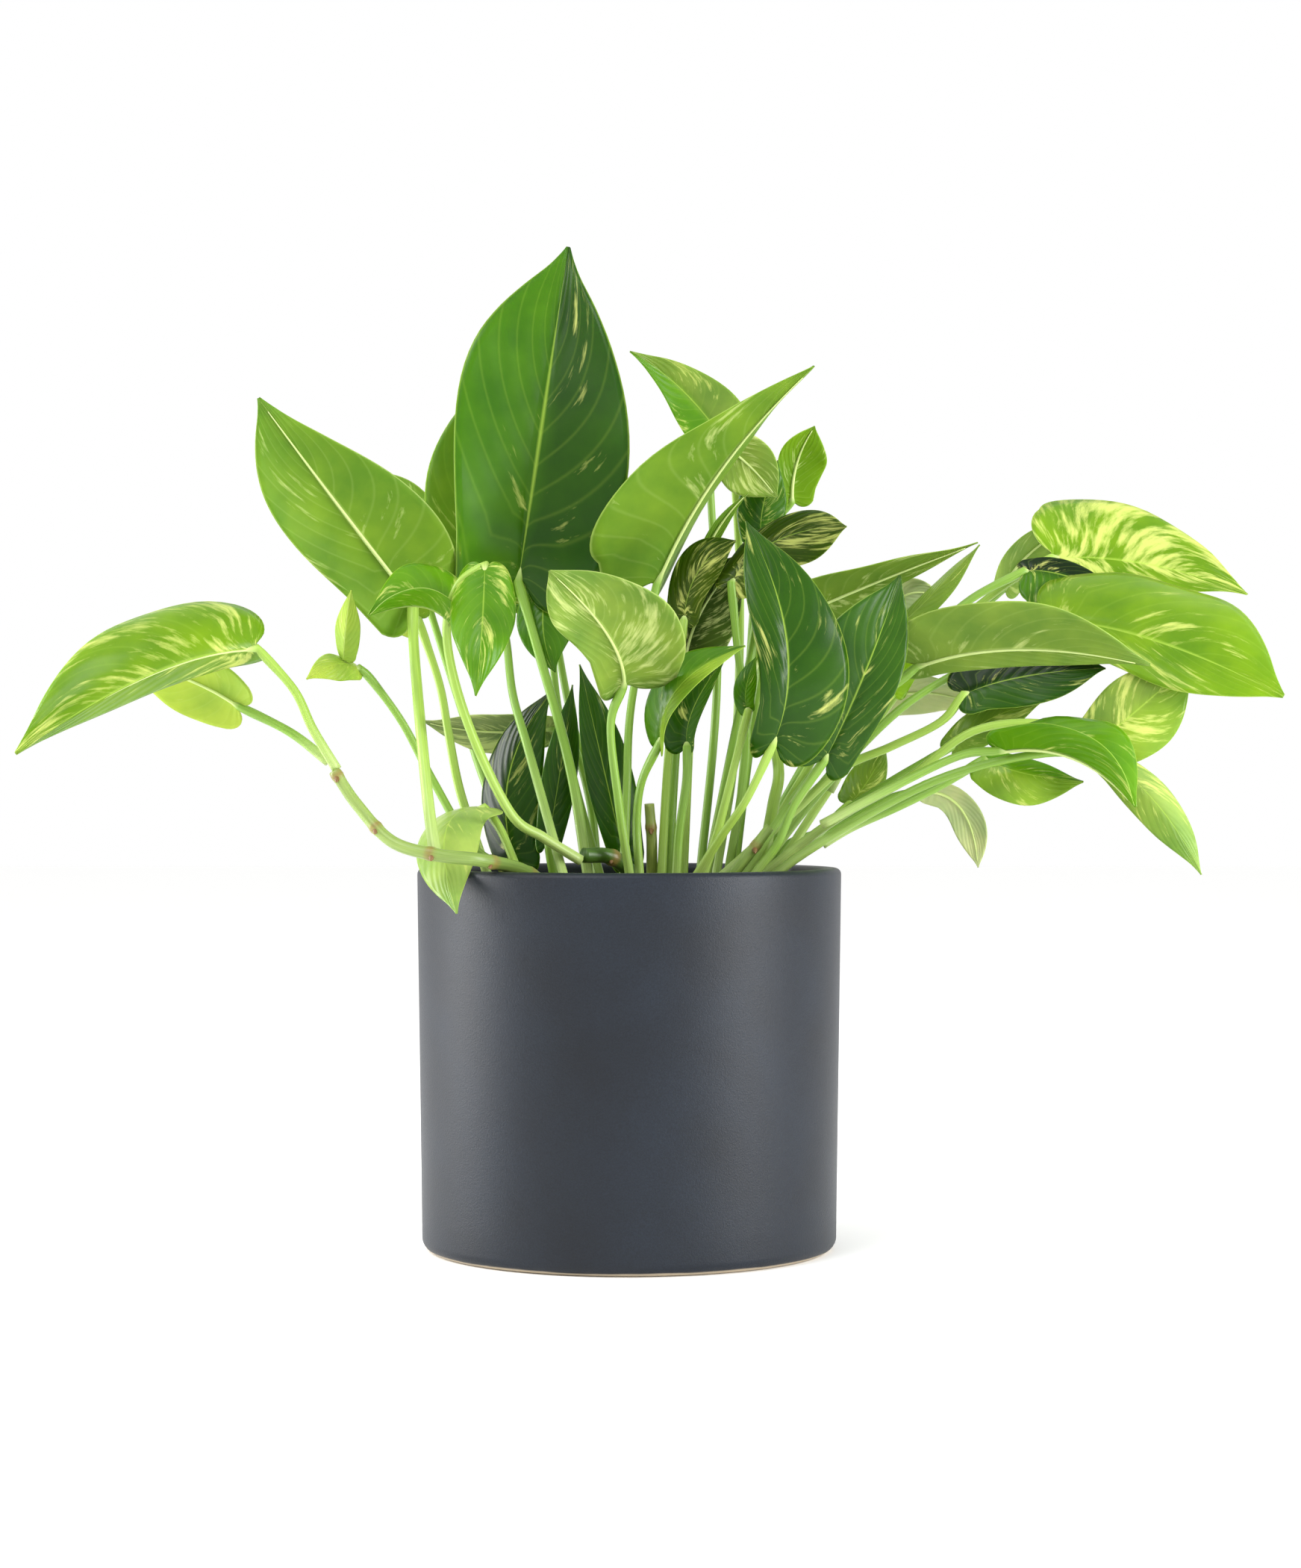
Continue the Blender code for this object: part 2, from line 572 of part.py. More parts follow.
def build_leaf(name, leaf, collection, helpers, made_of):
    placed = add_blade(name, leaf, collection, made_of)
    points, directions, _, _, length = midrib(leaf)
    path = [vector(point) for point in leaf["stalk"]] + [points[0]]
    if not leaf.get("on_vine"):
        path = rooted(path)
    path.append(points[0] + (points[2] - points[0]).normalized() * STALK_BURIED * length)
    stem = stem_mesh(name + "_stalk", path, leaf.get("radii", (2, 1.5)))
    stalk = add_object(name + "_stalk", stem, helpers)
    join_helper(placed, stalk)
    if "flap" in leaf:
        join_helper(placed, add_blade(name + "_flap", leaf["flap"], helpers, made_of))
    return placed


def main():
    for existing in list(bpy.data.objects):
        bpy.data.objects.remove(existing)
    plant = bpy.data.collections.new("potted_pothos")
    helpers = bpy.data.collections.new("joined_helpers")
    for collection in (plant, helpers):
        bpy.context.scene.collection.children.link(collection)
    green = material("leaf_green", COLOURS["leaf"], 0.4)
    build_pot(plant, material("pot_glaze", COLOURS["pot"], 0.55))
    build_soil(plant, material("soil_brown", COLOURS["soil"], 0.95))
    stem = material("vine_green", COLOURS["vine"], 0.5)
    for name, vine in VINES.items():
        path = [vector(point) for point in vine["points"]]
        add_object(name, stem_mesh(name, path, vine["radii"]), plant, stem)
    for name, leaf in LEAVES.items():
        build_leaf(name, leaf, plant, helpers, green)


main()
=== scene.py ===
# %% [markdown]
# # A potted pothos
# The frame holds the pot, the soil, four short vines and fifty leaves as plain solids at their real
# places. This lesson gives each of them its finished shape and surface: thin blades with a sunk midrib
# and quilted veins, grooved stalks, jointed vines, crumbly soil and a matt glazed pot.

# %% The frame and its size
import math
import random

import bmesh
import bpy
import numpy as np
from mathutils import Matrix, Vector, noise


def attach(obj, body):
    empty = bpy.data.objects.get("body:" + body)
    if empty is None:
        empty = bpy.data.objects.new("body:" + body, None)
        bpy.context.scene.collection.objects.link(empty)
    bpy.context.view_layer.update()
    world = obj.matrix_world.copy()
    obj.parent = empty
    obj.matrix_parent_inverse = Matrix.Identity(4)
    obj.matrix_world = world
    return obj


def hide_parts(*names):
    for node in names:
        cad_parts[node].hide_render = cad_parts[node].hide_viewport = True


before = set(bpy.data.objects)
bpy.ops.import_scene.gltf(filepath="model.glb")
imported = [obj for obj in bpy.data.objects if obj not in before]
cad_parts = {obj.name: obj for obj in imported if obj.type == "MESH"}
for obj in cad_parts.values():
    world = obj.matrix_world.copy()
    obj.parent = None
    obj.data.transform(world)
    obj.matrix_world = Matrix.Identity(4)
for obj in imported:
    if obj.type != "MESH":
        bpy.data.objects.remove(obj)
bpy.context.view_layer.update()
MM = 0.001

# %% [markdown]
# ## Colours and nodes
# Colours are written as sRGB hex values, as a painter picks them, and one function turns them to the
# linear light that Blender works in. Another adds a node with its settings and its links. The sums that
# node trees use most, and the two ways they mix colours, get short names.

# %% Helpers for colours and nodes
def linear(code):
    """An sRGB hex colour as a linear RGB list."""
    parts = [int(code[place:place + 2], 16) / 255 for place in (1, 3, 5)]
    return [part / 12.92 if part <= 0.04045 else ((part + 0.055) / 1.055) ** 2.4 for part in parts]


def colour(code):
    """An sRGB hex colour as linear RGB with full alpha, for a socket or a ramp."""
    return (*linear(code), 1.0)


def set_stops(bands, stops):
    """Puts (place, colour) stops in a colour ramp."""
    while len(bands) < len(stops):
        bands.new(0.5)
    for band, (place, shade) in zip(bands, stops):
        band.position = place
        band.color = shade


def add(tree, kind, settings=None, **sockets):
    """A node with its settings, a ramp's colour stops among them, and its inputs by name or number: a
    value, a node whose first output is linked, or a (node, output) pair.
    """
    made = tree.nodes.new("ShaderNode" + kind)
    for name, value in (settings or {}).items():
        if name == "stops":
            set_stops(made.color_ramp.elements, value)
        else:
            setattr(made, name, value)
    for name, value in sockets.items():
        place = int(name[1:]) if name[0] == "i" and name[1:].isdigit() else name.replace("_", " ")
        source = (value, 0) if isinstance(value, bpy.types.Node) else value
        if isinstance(source, tuple) and isinstance(source[0], bpy.types.Node):
            tree.links.new(source[0].outputs[source[1]], made.inputs[place])
        else:
            made.inputs[place].default_value = source
    return made


def finish(name, **constants):
    """A new material, with its tree and its Principled shader set to these constants."""
    made = bpy.data.materials.new(name)
    made.use_nodes = True
    shader = made.node_tree.nodes["Principled BSDF"]
    for socket, value in constants.items():
        shader.inputs[socket.replace("_", " ")].default_value = value
    return made, made.node_tree, shader


PLUS, MINUS, TIMES = (dict(operation=name) for name in ("ADD", "SUBTRACT", "MULTIPLY"))
TIMES_CLAMPED = dict(operation="MULTIPLY", use_clamp=True)
BLEND = dict(data_type="RGBA")
SHADE_BY = dict(data_type="RGBA", blend_type="MULTIPLY")
print("helpers ready: a pale leaf green is", [round(part, 3) for part in linear("#a9bb3f")])

# %% [markdown]
# ## Living leaf tissue
# A pothos leaf is a waxy skin over soft green tissue. The upper side is glossy and marked with cream
# flecks that run along the side veins; the underside is duller and greyer. The veins leave the midrib
# and sweep forward to the edge. Each leaf carries its own colours in an attribute called tint, whose
# alpha says how many flecks it has, so two materials serve all fifty leaves.

# %% Leaf materials
VEINS_PER_LEAF = 11
VEIN_SWEEP = 0.30
VEIN_SHARPNESS = 14.0
VEIN_SHARE = 0.07
FLECKS_ALONG_LEAF, FLECKS_ACROSS_LEAF = 26.0, 5.0
PATCHES_ALONG_LEAF, PATCHES_ACROSS_LEAF = 5.0, 2.2
FINE_SHARE = 0.55
MARKS_REACH = 0.16
FLECK_START = 0.595
FLECK_CONTRAST = 11.0
FLECK_SHARE = 0.62
EDGE_START, EDGE_SHARPNESS, EDGE_SHARE = 0.488, 70.0, 0.5
GRAIN_HEIGHT = 0.00004


def leaf_finish(name, fleck, midrib, vein_depth, rib_width, rib_share, **constants):
    """Leaf tissue: its tint, a pale midrib, fine side veins and flecks that follow the veins."""
    made, tree, shader = finish(name, **constants)
    skin = add(tree, "UVMap", dict(uv_map="skin"))
    split = add(tree, "SeparateXYZ", Vector=skin)
    tint = add(tree, "Attribute", dict(attribute_name="tint"))
    seed = add(tree, "Attribute", dict(attribute_name="seed"))
    aside = add(tree, "Math", dict(operation="ABSOLUTE"), i0=add(tree, "Math", MINUS, i0=split, i1=0.5))
    lag = add(tree, "Math", TIMES, i0=aside, i1=2 * VEIN_SWEEP)
    swept = add(tree, "Math", MINUS, i0=(split, 1), i1=lag)
    # Flecks: noise drawn out along the veins, so that it makes streaks and not dots.
    streaks = add(tree, "CombineXYZ", X=add(tree, "Math", TIMES, i0=swept, i1=FLECKS_ALONG_LEAF),
                  Y=add(tree, "Math", TIMES, i0=split, i1=FLECKS_ACROSS_LEAF))
    fine = add(tree, "TexNoise", dict(noise_dimensions="4D"), Vector=streaks, W=(seed, 2), Scale=1.0,
               Detail=5.0, Roughness=0.62)
    patches = add(tree, "CombineXYZ", X=add(tree, "Math", TIMES, i0=swept, i1=PATCHES_ALONG_LEAF),
                  Y=add(tree, "Math", TIMES, i0=split, i1=PATCHES_ACROSS_LEAF))
    broad = add(tree, "TexNoise", dict(noise_dimensions="4D"), Vector=patches, W=(seed, 2), Scale=1.0,
                Detail=2.0)
    both = add(tree, "Math", PLUS, i0=add(tree, "Math", TIMES, i0=fine, i1=FINE_SHARE),
               i1=add(tree, "Math", TIMES, i0=broad, i1=1 - FINE_SHARE))
    reach = add(tree, "Math", TIMES, i0=(tint, 3), i1=MARKS_REACH)
    above = add(tree, "Math", MINUS, i0=add(tree, "Math", PLUS, i0=both, i1=reach), i1=FLECK_START)
    flecked = add(tree, "Math", TIMES_CLAMPED, i0=above, i1=FLECK_CONTRAST)
    # Tissue: a slow change of green over the leaf, and thin pale side veins.
    place = add(tree, "TexCoord")
    slow = add(tree, "TexNoise", Vector=(place, 3), Scale=48.0, Detail=4.0)
    stops = [(0.30, (0.66, 0.76, 0.60, 1)), (0.72, (1.26, 1.14, 0.9, 1))]
    shade = add(tree, "ValToRGB", dict(stops=stops), Fac=slow)
    green = add(tree, "Mix", SHADE_BY, Factor=1.0, i6=tint, i7=shade)
    marked = add(tree, "Mix", BLEND, i0=add(tree, "Math", TIMES, i0=flecked, i1=FLECK_SHARE),
                 i6=(green, 2), i7=fleck)
    turns = add(tree, "Math", TIMES, i0=swept, i1=2 * math.pi * VEINS_PER_LEAF)
    wave = add(tree, "Math", dict(operation="SINE"), i0=turns)
    crest = add(tree, "Math", dict(operation="MAXIMUM"), i0=wave, i1=0.0)
    vein = add(tree, "Math", dict(operation="POWER"), i0=crest, i1=VEIN_SHARPNESS)
    veined = add(tree, "Mix", BLEND, i0=add(tree, "Math", TIMES, i0=vein, i1=VEIN_SHARE),
                 i6=(marked, 2), i7=midrib)
    # Midrib: a pale line that narrows with the leaf, and a thin pale edge.
    rib = add(tree, "Math", dict(operation="SUBTRACT", use_clamp=True), i0=1.0,
              i1=add(tree, "Math", TIMES, i0=aside, i1=rib_width))
    ribbed = add(tree, "Mix", BLEND, i0=add(tree, "Math", TIMES, i0=rib, i1=rib_share),
                 i6=(veined, 2), i7=midrib)
    outside = add(tree, "Math", MINUS, i0=aside, i1=EDGE_START)
    edge = add(tree, "Math", TIMES_CLAMPED, i0=outside, i1=EDGE_SHARPNESS)
    edged = add(tree, "Mix", BLEND, i0=add(tree, "Math", TIMES, i0=edge, i1=EDGE_SHARE),
                i6=(ribbed, 2), i7=midrib)
    tree.links.new(edged.outputs[2], shader.inputs["Base Color"])
    # Relief: cell grain 0.4 mm across, and tissue that swells between the veins.
    grain = add(tree, "TexNoise", Vector=(place, 3), Scale=2400.0, Detail=2.0)
    height = add(tree, "Math", PLUS, i0=add(tree, "Math", TIMES, i0=wave, i1=vein_depth),
                 i1=add(tree, "Math", TIMES, i0=grain, i1=GRAIN_HEIGHT))
    bump = add(tree, "Bump", Height=height, Strength=0.5, Distance=1.0)
    tree.links.new(bump.outputs[0], shader.inputs["Normal"])
    return made


leaf_top_skin = leaf_finish(
    "pothos_leaf_waxy_upper_side", colour("#dbe07c"), colour("#a9c94c"), -0.00008, 62.0, 0.55,
    Roughness=0.30, IOR=1.45, Specular_IOR_Level=0.22, Subsurface_Weight=0.08,
    Subsurface_Scale=0.002, Subsurface_Radius=(0.5, 1.0, 0.1))
leaf_under_skin = leaf_finish(
    "pothos_leaf_dull_underside", colour("#cfd98a"), colour("#c2d57c"), 0.00010, 40.0, 0.6,
    Roughness=0.55, IOR=1.40, Specular_IOR_Level=0.20, Subsurface_Weight=0.08,
    Subsurface_Scale=0.002, Subsurface_Radius=(0.5, 1.0, 0.1))
print("leaf materials:", leaf_top_skin.name, leaf_under_skin.name)

# %% [markdown]
# ## The skin of stalks and vines
# Stalks and vines are smooth, and paler low down, where a leaf sheath has clasped them. Their tint comes
# from the same attribute, and fine streaks run their length as the fibres do.

# %% Stem material
def stem_finish():
    """Smooth green stem: streaks along its length, in shade and relief, over the tint."""
    made, tree, shader = finish(
        "pothos_stem_smooth_green", Roughness=0.38, IOR=1.45, Subsurface_Weight=0.10,
        Subsurface_Scale=0.002, Subsurface_Radius=(0.6, 1.0, 0.2))
    tint = add(tree, "Attribute", dict(attribute_name="tint"))
    skin = add(tree, "UVMap", dict(uv_map="skin"))
    stretched = add(tree, "Mapping", Vector=skin, Scale=(14.0, 3.0, 1.0))
    fibres = add(tree, "TexNoise", Vector=stretched, Scale=2.0, Detail=4.0)
    stops = [(0.3, (0.78, 0.80, 0.72, 1)), (0.7, (1.15, 1.12, 1.10, 1))]
    shade = add(tree, "ValToRGB", dict(stops=stops), Fac=fibres)
    mixed = add(tree, "Mix", SHADE_BY, Factor=1.0, i6=tint, i7=shade)
    tree.links.new(mixed.outputs[2], shader.inputs["Base Color"])
    bump = add(tree, "Bump", Height=fibres, Strength=0.25, Distance=0.0003)
    tree.links.new(bump.outputs[0], shader.inputs["Normal"])
    return made


stem_skin = stem_finish()
print("stem material:", stem_skin.name)

# %% [markdown]
# ## The table of leaves
# Each leaf is placed as in the frame: the points its stalk passes, the base, middle and tip of
# its midrib, the way its upper side faces, and its two half widths. Then, where they differ from the
# usual, how far each half is folded down and curled in degrees, the twist from base to tip, the taper of
# each half and the radii of the stalk. On_vine says that the stalk leaves a vine, and flap is a second
# lobe. Tone gives the greens of the left and right half of the side that shows most, and marks says how
# strongly it is flecked.

# %% Leaves and vines, in millimetres
# Some of these greens are darker than a leaf's own green because that leaf or half lies in shade, as night
# on the shaded right leaves: painted shade.
LEAF_GREENS_AND_SHADES = dict(
    night="#0d2402", dark="#234901", deep="#3a6803", blue="#2b510d", olive="#334805", moss="#67852c",
    grey="#7b8d60", bright="#53850a", mid="#648825", soft="#718e3b", fresh="#648b0e", lime="#789a2f",
    pale="#8da959", yellow="#a3bb4b", cream="#a9b48d",
)
LEAVES = dict(
    leaf_far_left=dict(
        tone=("mid", "fresh"), marks=0.5,
        stalk=[(-114, -57, 195), (-121, -59, 207), (-128, -61, 222)],
        base=(-142, -62, 238), mid=(-180, -84, 227), tip=(-228, -94, 197), face=(0.05, -0.95, 0.25),
        width=(14, 32), fold=(78, -8), curl=(0, 65), taper=(0.8, 0.9), on_vine=True,
    ),
    leaf_far_left_small=dict(
        tone=("yellow", "yellow"), marks=0.1,
        stalk=[(-119, -50, 197), (-131, -47, 206)],
        base=(-151, -44, 216), mid=(-172, -40, 227), tip=(-202, -38, 236), face=(0.1, 0.9, 0.3),
        width=(13, 14), fold=(0, 0), curl=(20, 20), taper=(0.9, 0.9), on_vine=True,
    ),
    leaf_left_young=dict(
        tone=("yellow", "yellow"), marks=0.1,
        stalk=[(-45, -16, 151), (-62, -13, 161), (-78, -9, 187), (-90, -11, 210), (-102, -15, 227)],
        base=(-107, -18, 232), mid=(-115, -30, 233), tip=(-126, -36, 227), face=(0.3, -0.8, 0.5),
        width=(7, 8), fold=(20, 20),
        flap=dict(base=(-112, -26, 235), mid=(-111, -32, 246), tip=(-109, -30, 262), face=(0.2, 0.9, 0.3),
                  width=(6, 6), fold=(-30, -30), curl=(0, 0), twist=20),
    ),
    leaf_high_left=dict(
        tone=("mid", "mid"), marks=0.12,
        stalk=[(-74, -66, 162), (-77, -56, 179), (-82, -34, 214), (-86, -10, 243)],
        base=(-87, 0, 259), mid=(-114, -24, 295), tip=(-143, -50, 335), face=(-0.25, 0.85, 0.45),
        width=(29, 25), fold=(0, 0), curl=(12, 45), twist=-10, taper=(1.15, 0.5), radii=(2.4, 2),
        on_vine=True,
    ),
    leaf_top=dict(
        tone=("deep", "dark"), marks=0.12,
        stalk=[(-18, -12, 160), (-22, -9, 185), (-28, -4, 210), (-36, 3, 237)],
        base=(-45, 10, 268), mid=(-36, 4, 326), tip=(-25, 20, 405), face=(0, -1, 0.1),
        width=(37, 40), fold=(-22, -22), curl=(0, 0), twist=-15, taper=(0.6, 0.9), radii=(2.2, 1.8),
    ),
    leaf_behind_top=dict(
        tone=("mid", "bright"), marks=0.3,
        stalk=[(-30, -25, 165), (-40, -10, 199), (-47, 5, 222), (-50, 14, 244)],
        base=(-54, 22, 262), mid=(-64, 28, 306), tip=(-57, 32, 355), face=(0.2, -0.95, -0.1),
        width=(21, 26), fold=(-10, -10),
    ),
    leaf_front_left=dict(
        tone=("bright", "bright"), marks=0.3,
        stalk=[(-22, -31, 158), (-33, -36, 165), (-46, -42, 175), (-62, -46, 209), (-70, -50, 241),
               (-66, -58, 261)],
        base=(-55, -60, 270), mid=(-55, -84, 242), tip=(-57, -88, 219), face=(0, -0.9, 0.35),
        width=(14, 15), fold=(15, 15), curl=(30, 30), taper=(0.9, 0.9), radii=(2.2, 1.6), on_vine=True,
        flap=dict(base=(-68, -54, 247), mid=(-80, -60, 254), tip=(-99, -66, 250), face=(0, -0.85, 0.5),
                  width=(10, 26), fold=(-100, 0), curl=(0, 20), taper=(0.6, 1.2)),
    ),
    leaf_high_centre=dict(
        tone=("mid", "mid"), marks=0.12,
        stalk=[(-2, -6, 156), (-1, -8, 183), (1, -7, 219)],
        base=(11, -4, 266), mid=(36, -18, 310), tip=(72, -45, 348), face=(-0.3, 0.9, 0.25),
        width=(26, 36), fold=(-62, 0), curl=(0, 15), taper=(0.7, 1.6),
    ),
    leaf_front_cream=dict(
        tone=("soft", "soft"), marks=0.5,
        stalk=[(0, -28, 152), (-4, -34, 179), (-7, -40, 209)],
        base=(-2, -45, 224), mid=(-8, -72, 243), tip=(-29, -100, 265), face=(-0.25, 0.75, 0.6),
        width=(28, 14), fold=(0, 0), curl=(30, 30), taper=(0.7, 0.3),
    ),
    leaf_front_dark=dict(
        tone=("dark", "dark"), marks=0.22,
        stalk=[(28, -25, 152), (36, -30, 165), (46, -36, 180)],
        base=(56, -42, 201), mid=(61, -50, 241), tip=(46, -30, 289), face=(0.1, -0.98, 0.1),
        width=(13, 25), fold=(-30, 0), curl=(60, 20), taper=(0.5, 1),
    ),
    leaf_dark_right=dict(
        tone=("blue", "blue"), marks=0.12,
        stalk=[(51, -19, 152), (59, -20, 163), (66, -22, 179)],
        base=(77, -26, 195), mid=(92, -31, 228), tip=(107, -26, 268), face=(0.1, -0.95, -0.1),
        width=(24, 14), fold=(-10, -10), curl=(0, 0), taper=(0.7, 0.6),
    ),
    leaf_speckled_right=dict(
        tone=("olive", "olive"), marks=0.6,
        stalk=[(40, 4, 151), (47, 0, 201), (43, 4, 246)],
        base=(41, 5, 267), mid=(59, 6, 284), tip=(87, -5, 289), face=(0, -0.9, 0.3),
        width=(10, 13), taper=(0.4, 0.4),
    ),
    leaf_speckled_centre=dict(
        tone=("olive", "olive"), marks=0.55,
        stalk=[(13, 6, 151), (16, 8, 201)],
        base=(22, 4, 252), mid=(28, 4, 272), tip=(43, 4, 284), face=(0, -1, 0.1),
        width=(10, 8), taper=(0.5, 0.5),
    ),
    leaf_brown_centre=dict(
        tone=("olive", "olive"), marks=0.5,
        stalk=[(16, 14, 151), (19, 14, 201)],
        base=(22, 13, 231), mid=(29, 14, 256), tip=(48, 17, 280), face=(-0.1, 0.95, 0.1),
        width=(16, 14),
    ),
    leaf_long_right=dict(
        tone=("moss", "moss"), marks=0.25,
        stalk=[(43, 16, 153), (49, 16, 201)],
        base=(57, 15, 250), mid=(97, 12, 267), tip=(140, 0, 283), face=(0, 0.6, 0.8),
        width=(14, 16), fold=(0, 0), curl=(0, 0), taper=(1.5, 1.5),
    ),
    leaf_spear=dict(
        tone=("soft", "soft"), marks=0.2,
        stalk=[(51, 20, 152), (60, 22, 171), (78, 23, 201)],
        base=(106, 20, 247), mid=(122, 18, 262), tip=(142, 12, 283), face=(0, -0.8, 0.6),
        width=(6, 6), fold=(35, 35), curl=(0, 0),
    ),
    leaf_right_pale=dict(
        tone=("soft", "soft"), marks=0.15,
        stalk=[(65, -11, 177), (82, -10, 201), (100, -8, 220)],
        base=(115, -10, 233), mid=(154, -32, 239), tip=(203, -40, 232), face=(0, 0.8, 0.6),
        width=(8, 27), fold=(0, 0), curl=(20, 20),
    ),
    leaf_right_large=dict(
        tone=("fresh", "fresh"), marks=0.4,
        stalk=[(52, 5, 151), (77, 6, 183), (109, 5, 216), (141, 5, 236)],
        base=(167, -2, 252), mid=(207, -20, 243), tip=(255, -40, 220), face=(0.15, -0.85, 0.5),
        width=(40, 18), fold=(-10, 0), curl=(45, 20), taper=(0.65, 0.5),
    ),
    leaf_right_marbled=dict(
        tone=("fresh", "fresh"), marks=0.8,
        stalk=[(61, 18, 153), (87, 20, 192), (121, 22, 238), (149, 25, 264)],
        base=(173, 28, 279), mid=(213, 28, 276), tip=(251, 15, 263), face=(0, -0.9, 0.4),
        width=(34, 14), fold=(0, 0), curl=(30, 20), taper=(1.3, 1),
    ),
    leaf_right_back=dict(
        tone=("pale", "pale"), marks=0.2,
        stalk=[(51, 38, 152), (82, 41, 189), (126, 43, 242)],
        base=(155, 42, 267), mid=(165, 46, 281), tip=(185, 48, 295), face=(0, 0.9, 0.4),
        width=(9, 9),
    ),
    leaf_right_folded=dict(
        tone=("night", "deep"), marks=0.4,
        stalk=[(81, 12, 183), (108, 14, 231), (136, 18, 259)],
        base=(161, 20, 273), mid=(177, 17, 271), tip=(199, 13, 262), face=(0, -0.9, 0.4),
        width=(7, 19), fold=(0, 0), curl=(0, 0), taper=(0.8, 1.3),
    ),
    leaf_right_dark=dict(
        tone=("night", "dark"), marks=0.2,
        stalk=[(65, 0, 174), (85, 0, 192), (105, -2, 201), (125, -2, 211)],
        base=(134, -2, 222), mid=(158, -4, 229), tip=(190, -10, 232), face=(0, -0.9, 0.4),
        width=(15, 13), fold=(0, 0), curl=(0, 0), taper=(0.6, 0.6),
    ),
    leaf_right_low=dict(
        tone=("bright", "bright"), marks=0.15,
        stalk=[(76, -23, 170), (100, -29, 183), (129, -34, 197)],
        base=(145, -35, 199), mid=(171, -58, 196), tip=(193, -68, 177), face=(0.1, -0.85, 0.55),
        width=(27, 12), fold=(0, -110), curl=(20, 0), taper=(0.6, 0.5),
    ),
    leaf_right_hanging=dict(
        tone=("pale", "soft"), marks=0.3,
        stalk=[(70, -16, 159), (120, -24, 187), (163, -31, 198)],
        base=(188, -35, 195), mid=(206, -45, 177), tip=(221, -52, 151), face=(0.2, -0.9, 0.3),
        width=(9, 10), fold=(0, 0), curl=(20, 20),
    ),
    leaf_right_quilted=dict(
        tone=("soft", "lime"), marks=0.5,
        stalk=[(65, -4, 159), (86, -5, 174), (111, -8, 188), (137, -12, 207), (165, -16, 210)],
        base=(185, -20, 202), mid=(199, -25, 214), tip=(222, -25, 234), face=(0.1, -0.95, 0.2),
        width=(15, 18), fold=(0, 0), curl=(20, 20),
    ),
    leaf_right_under=dict(
        tone=("bright", "lime"), marks=0.25,
        stalk=[(77, -10, 162), (89, -11, 169), (107, -13, 177), (125, -14, 186)],
        base=(141, -16, 196), mid=(157, -24, 190), tip=(179, -26, 187), face=(0, -0.9, 0.4),
        width=(8, 13),
    ),
    leaf_right_drooping=dict(
        tone=("cream", "cream"), marks=0.2,
        stalk=[(58, 24, 152), (66, 25, 162), (84, 25, 168), (106, 24, 180)],
        base=(121, 22, 183), mid=(136, 22, 175), tip=(142, 18, 152), face=(0, 0.9, 0.3),
        width=(7, 7), taper=(0.5, 0.5),
    ),
    leaf_rear_low_right=dict(
        tone=("moss", "moss"), marks=0.4,
        stalk=[(62, 30, 151)],
        base=(91, 38, 178), mid=(99, 40, 188), tip=(106, 40, 201), face=(0, -0.9, 0.3),
        width=(9, 7),
    ),
    leaf_rear_pale_right=dict(
        tone=("cream", "cream"), marks=0.15,
        stalk=[(48, 24, 151), (66, 30, 183), (82, 33, 208)],
        base=(94, 32, 217), mid=(119, 32, 224), tip=(146, 28, 217), face=(0, 0.8, 0.6),
        width=(10, 11),
    ),
    leaf_yellow_high=dict(
        tone=("fresh", "fresh"), marks=0.2,
        stalk=[(43, 35, 152), (48, 45, 202), (52, 48, 264), (59, 44, 292)],
        base=(67, 40, 303), mid=(69, 38, 319), tip=(76, 30, 333), face=(-0.2, 0.9, 0.1),
        width=(12, 9), taper=(0.5, 0.5),
    ),
    leaf_curled_high=dict(
        tone=("bright", "soft"), marks=0.25,
        stalk=[(36, 30, 152), (44, 50, 202), (46, 55, 264), (44, 52, 308)],
        base=(41, 48, 326), mid=(22, 50, 350), tip=(0, 40, 365), face=(0, -0.95, 0.2),
        width=(14, 15), fold=(-20, -10), curl=(0, 0), taper=(1.3, 1.3),
    ),
    leaf_cream_rear=dict(
        tone=("soft", "soft"), marks=0.5,
        stalk=[(29, 24, 151), (36, 30, 232)],
        base=(32, 24, 327), mid=(46, 24, 319), tip=(60, 20, 303), face=(0, 0.9, 0.3),
        width=(13, 12), taper=(0.5, 0.5),
    ),
    leaf_dark_rear=dict(
        tone=("dark", "deep"), marks=0.35,
        stalk=[(32, 20, 152), (42, 28, 201), (51, 32, 247)],
        base=(54, 30, 287), mid=(55, 30, 301), tip=(61, 30, 319), face=(0, -1, 0),
        width=(11, 10),
    ),
    leaf_narrow_rear=dict(
        tone=("mid", "mid"), marks=0.1,
        stalk=[(22, 18, 151), (25, 20, 216)],
        base=(28, 20, 273), mid=(36, 16, 290), tip=(48, 14, 304), face=(0, 0.9, 0.3),
        width=(3, 3),
    ),
    leaf_small_glossy=dict(
        tone=("deep", "deep"), marks=0.1,
        stalk=[(-13, 14, 153), (-23, 19, 189), (-30, 20, 223)],
        base=(-33, 16, 268), mid=(-35, 8, 249), tip=(-30, 6, 231), face=(0, -0.9, 0.3),
        width=(14, 11), radii=(1.8, 1.4),
    ),
    leaf_upright_dark=dict(
        tone=("dark", "dark"), marks=0.15,
        stalk=[(2, 6, 141)],
        base=(-2, 4, 156), mid=(-11, 0, 195), tip=(-20, 0, 234), face=(0.3, -0.95, 0),
        width=(8, 13),
    ),
    leaf_cupped_dark=dict(
        tone=("night", "dark"), marks=0.1,
        stalk=[(-37, 8, 141)],
        base=(-46, 12, 153), mid=(-49, 12, 189), tip=(-31, 8, 224), face=(-0.3, -0.9, 0),
        width=(14, 14), fold=(20, 20),
    ),
    leaf_narrow_dark=dict(
        tone=("blue", "blue"), marks=0.1,
        stalk=[(-30, 12, 144)],
        base=(-33, 10, 162), mid=(-28, 10, 192), tip=(-23, 6, 226), face=(0.2, -0.9, 0),
        width=(7, 8),
    ),
    leaf_striped_rear=dict(
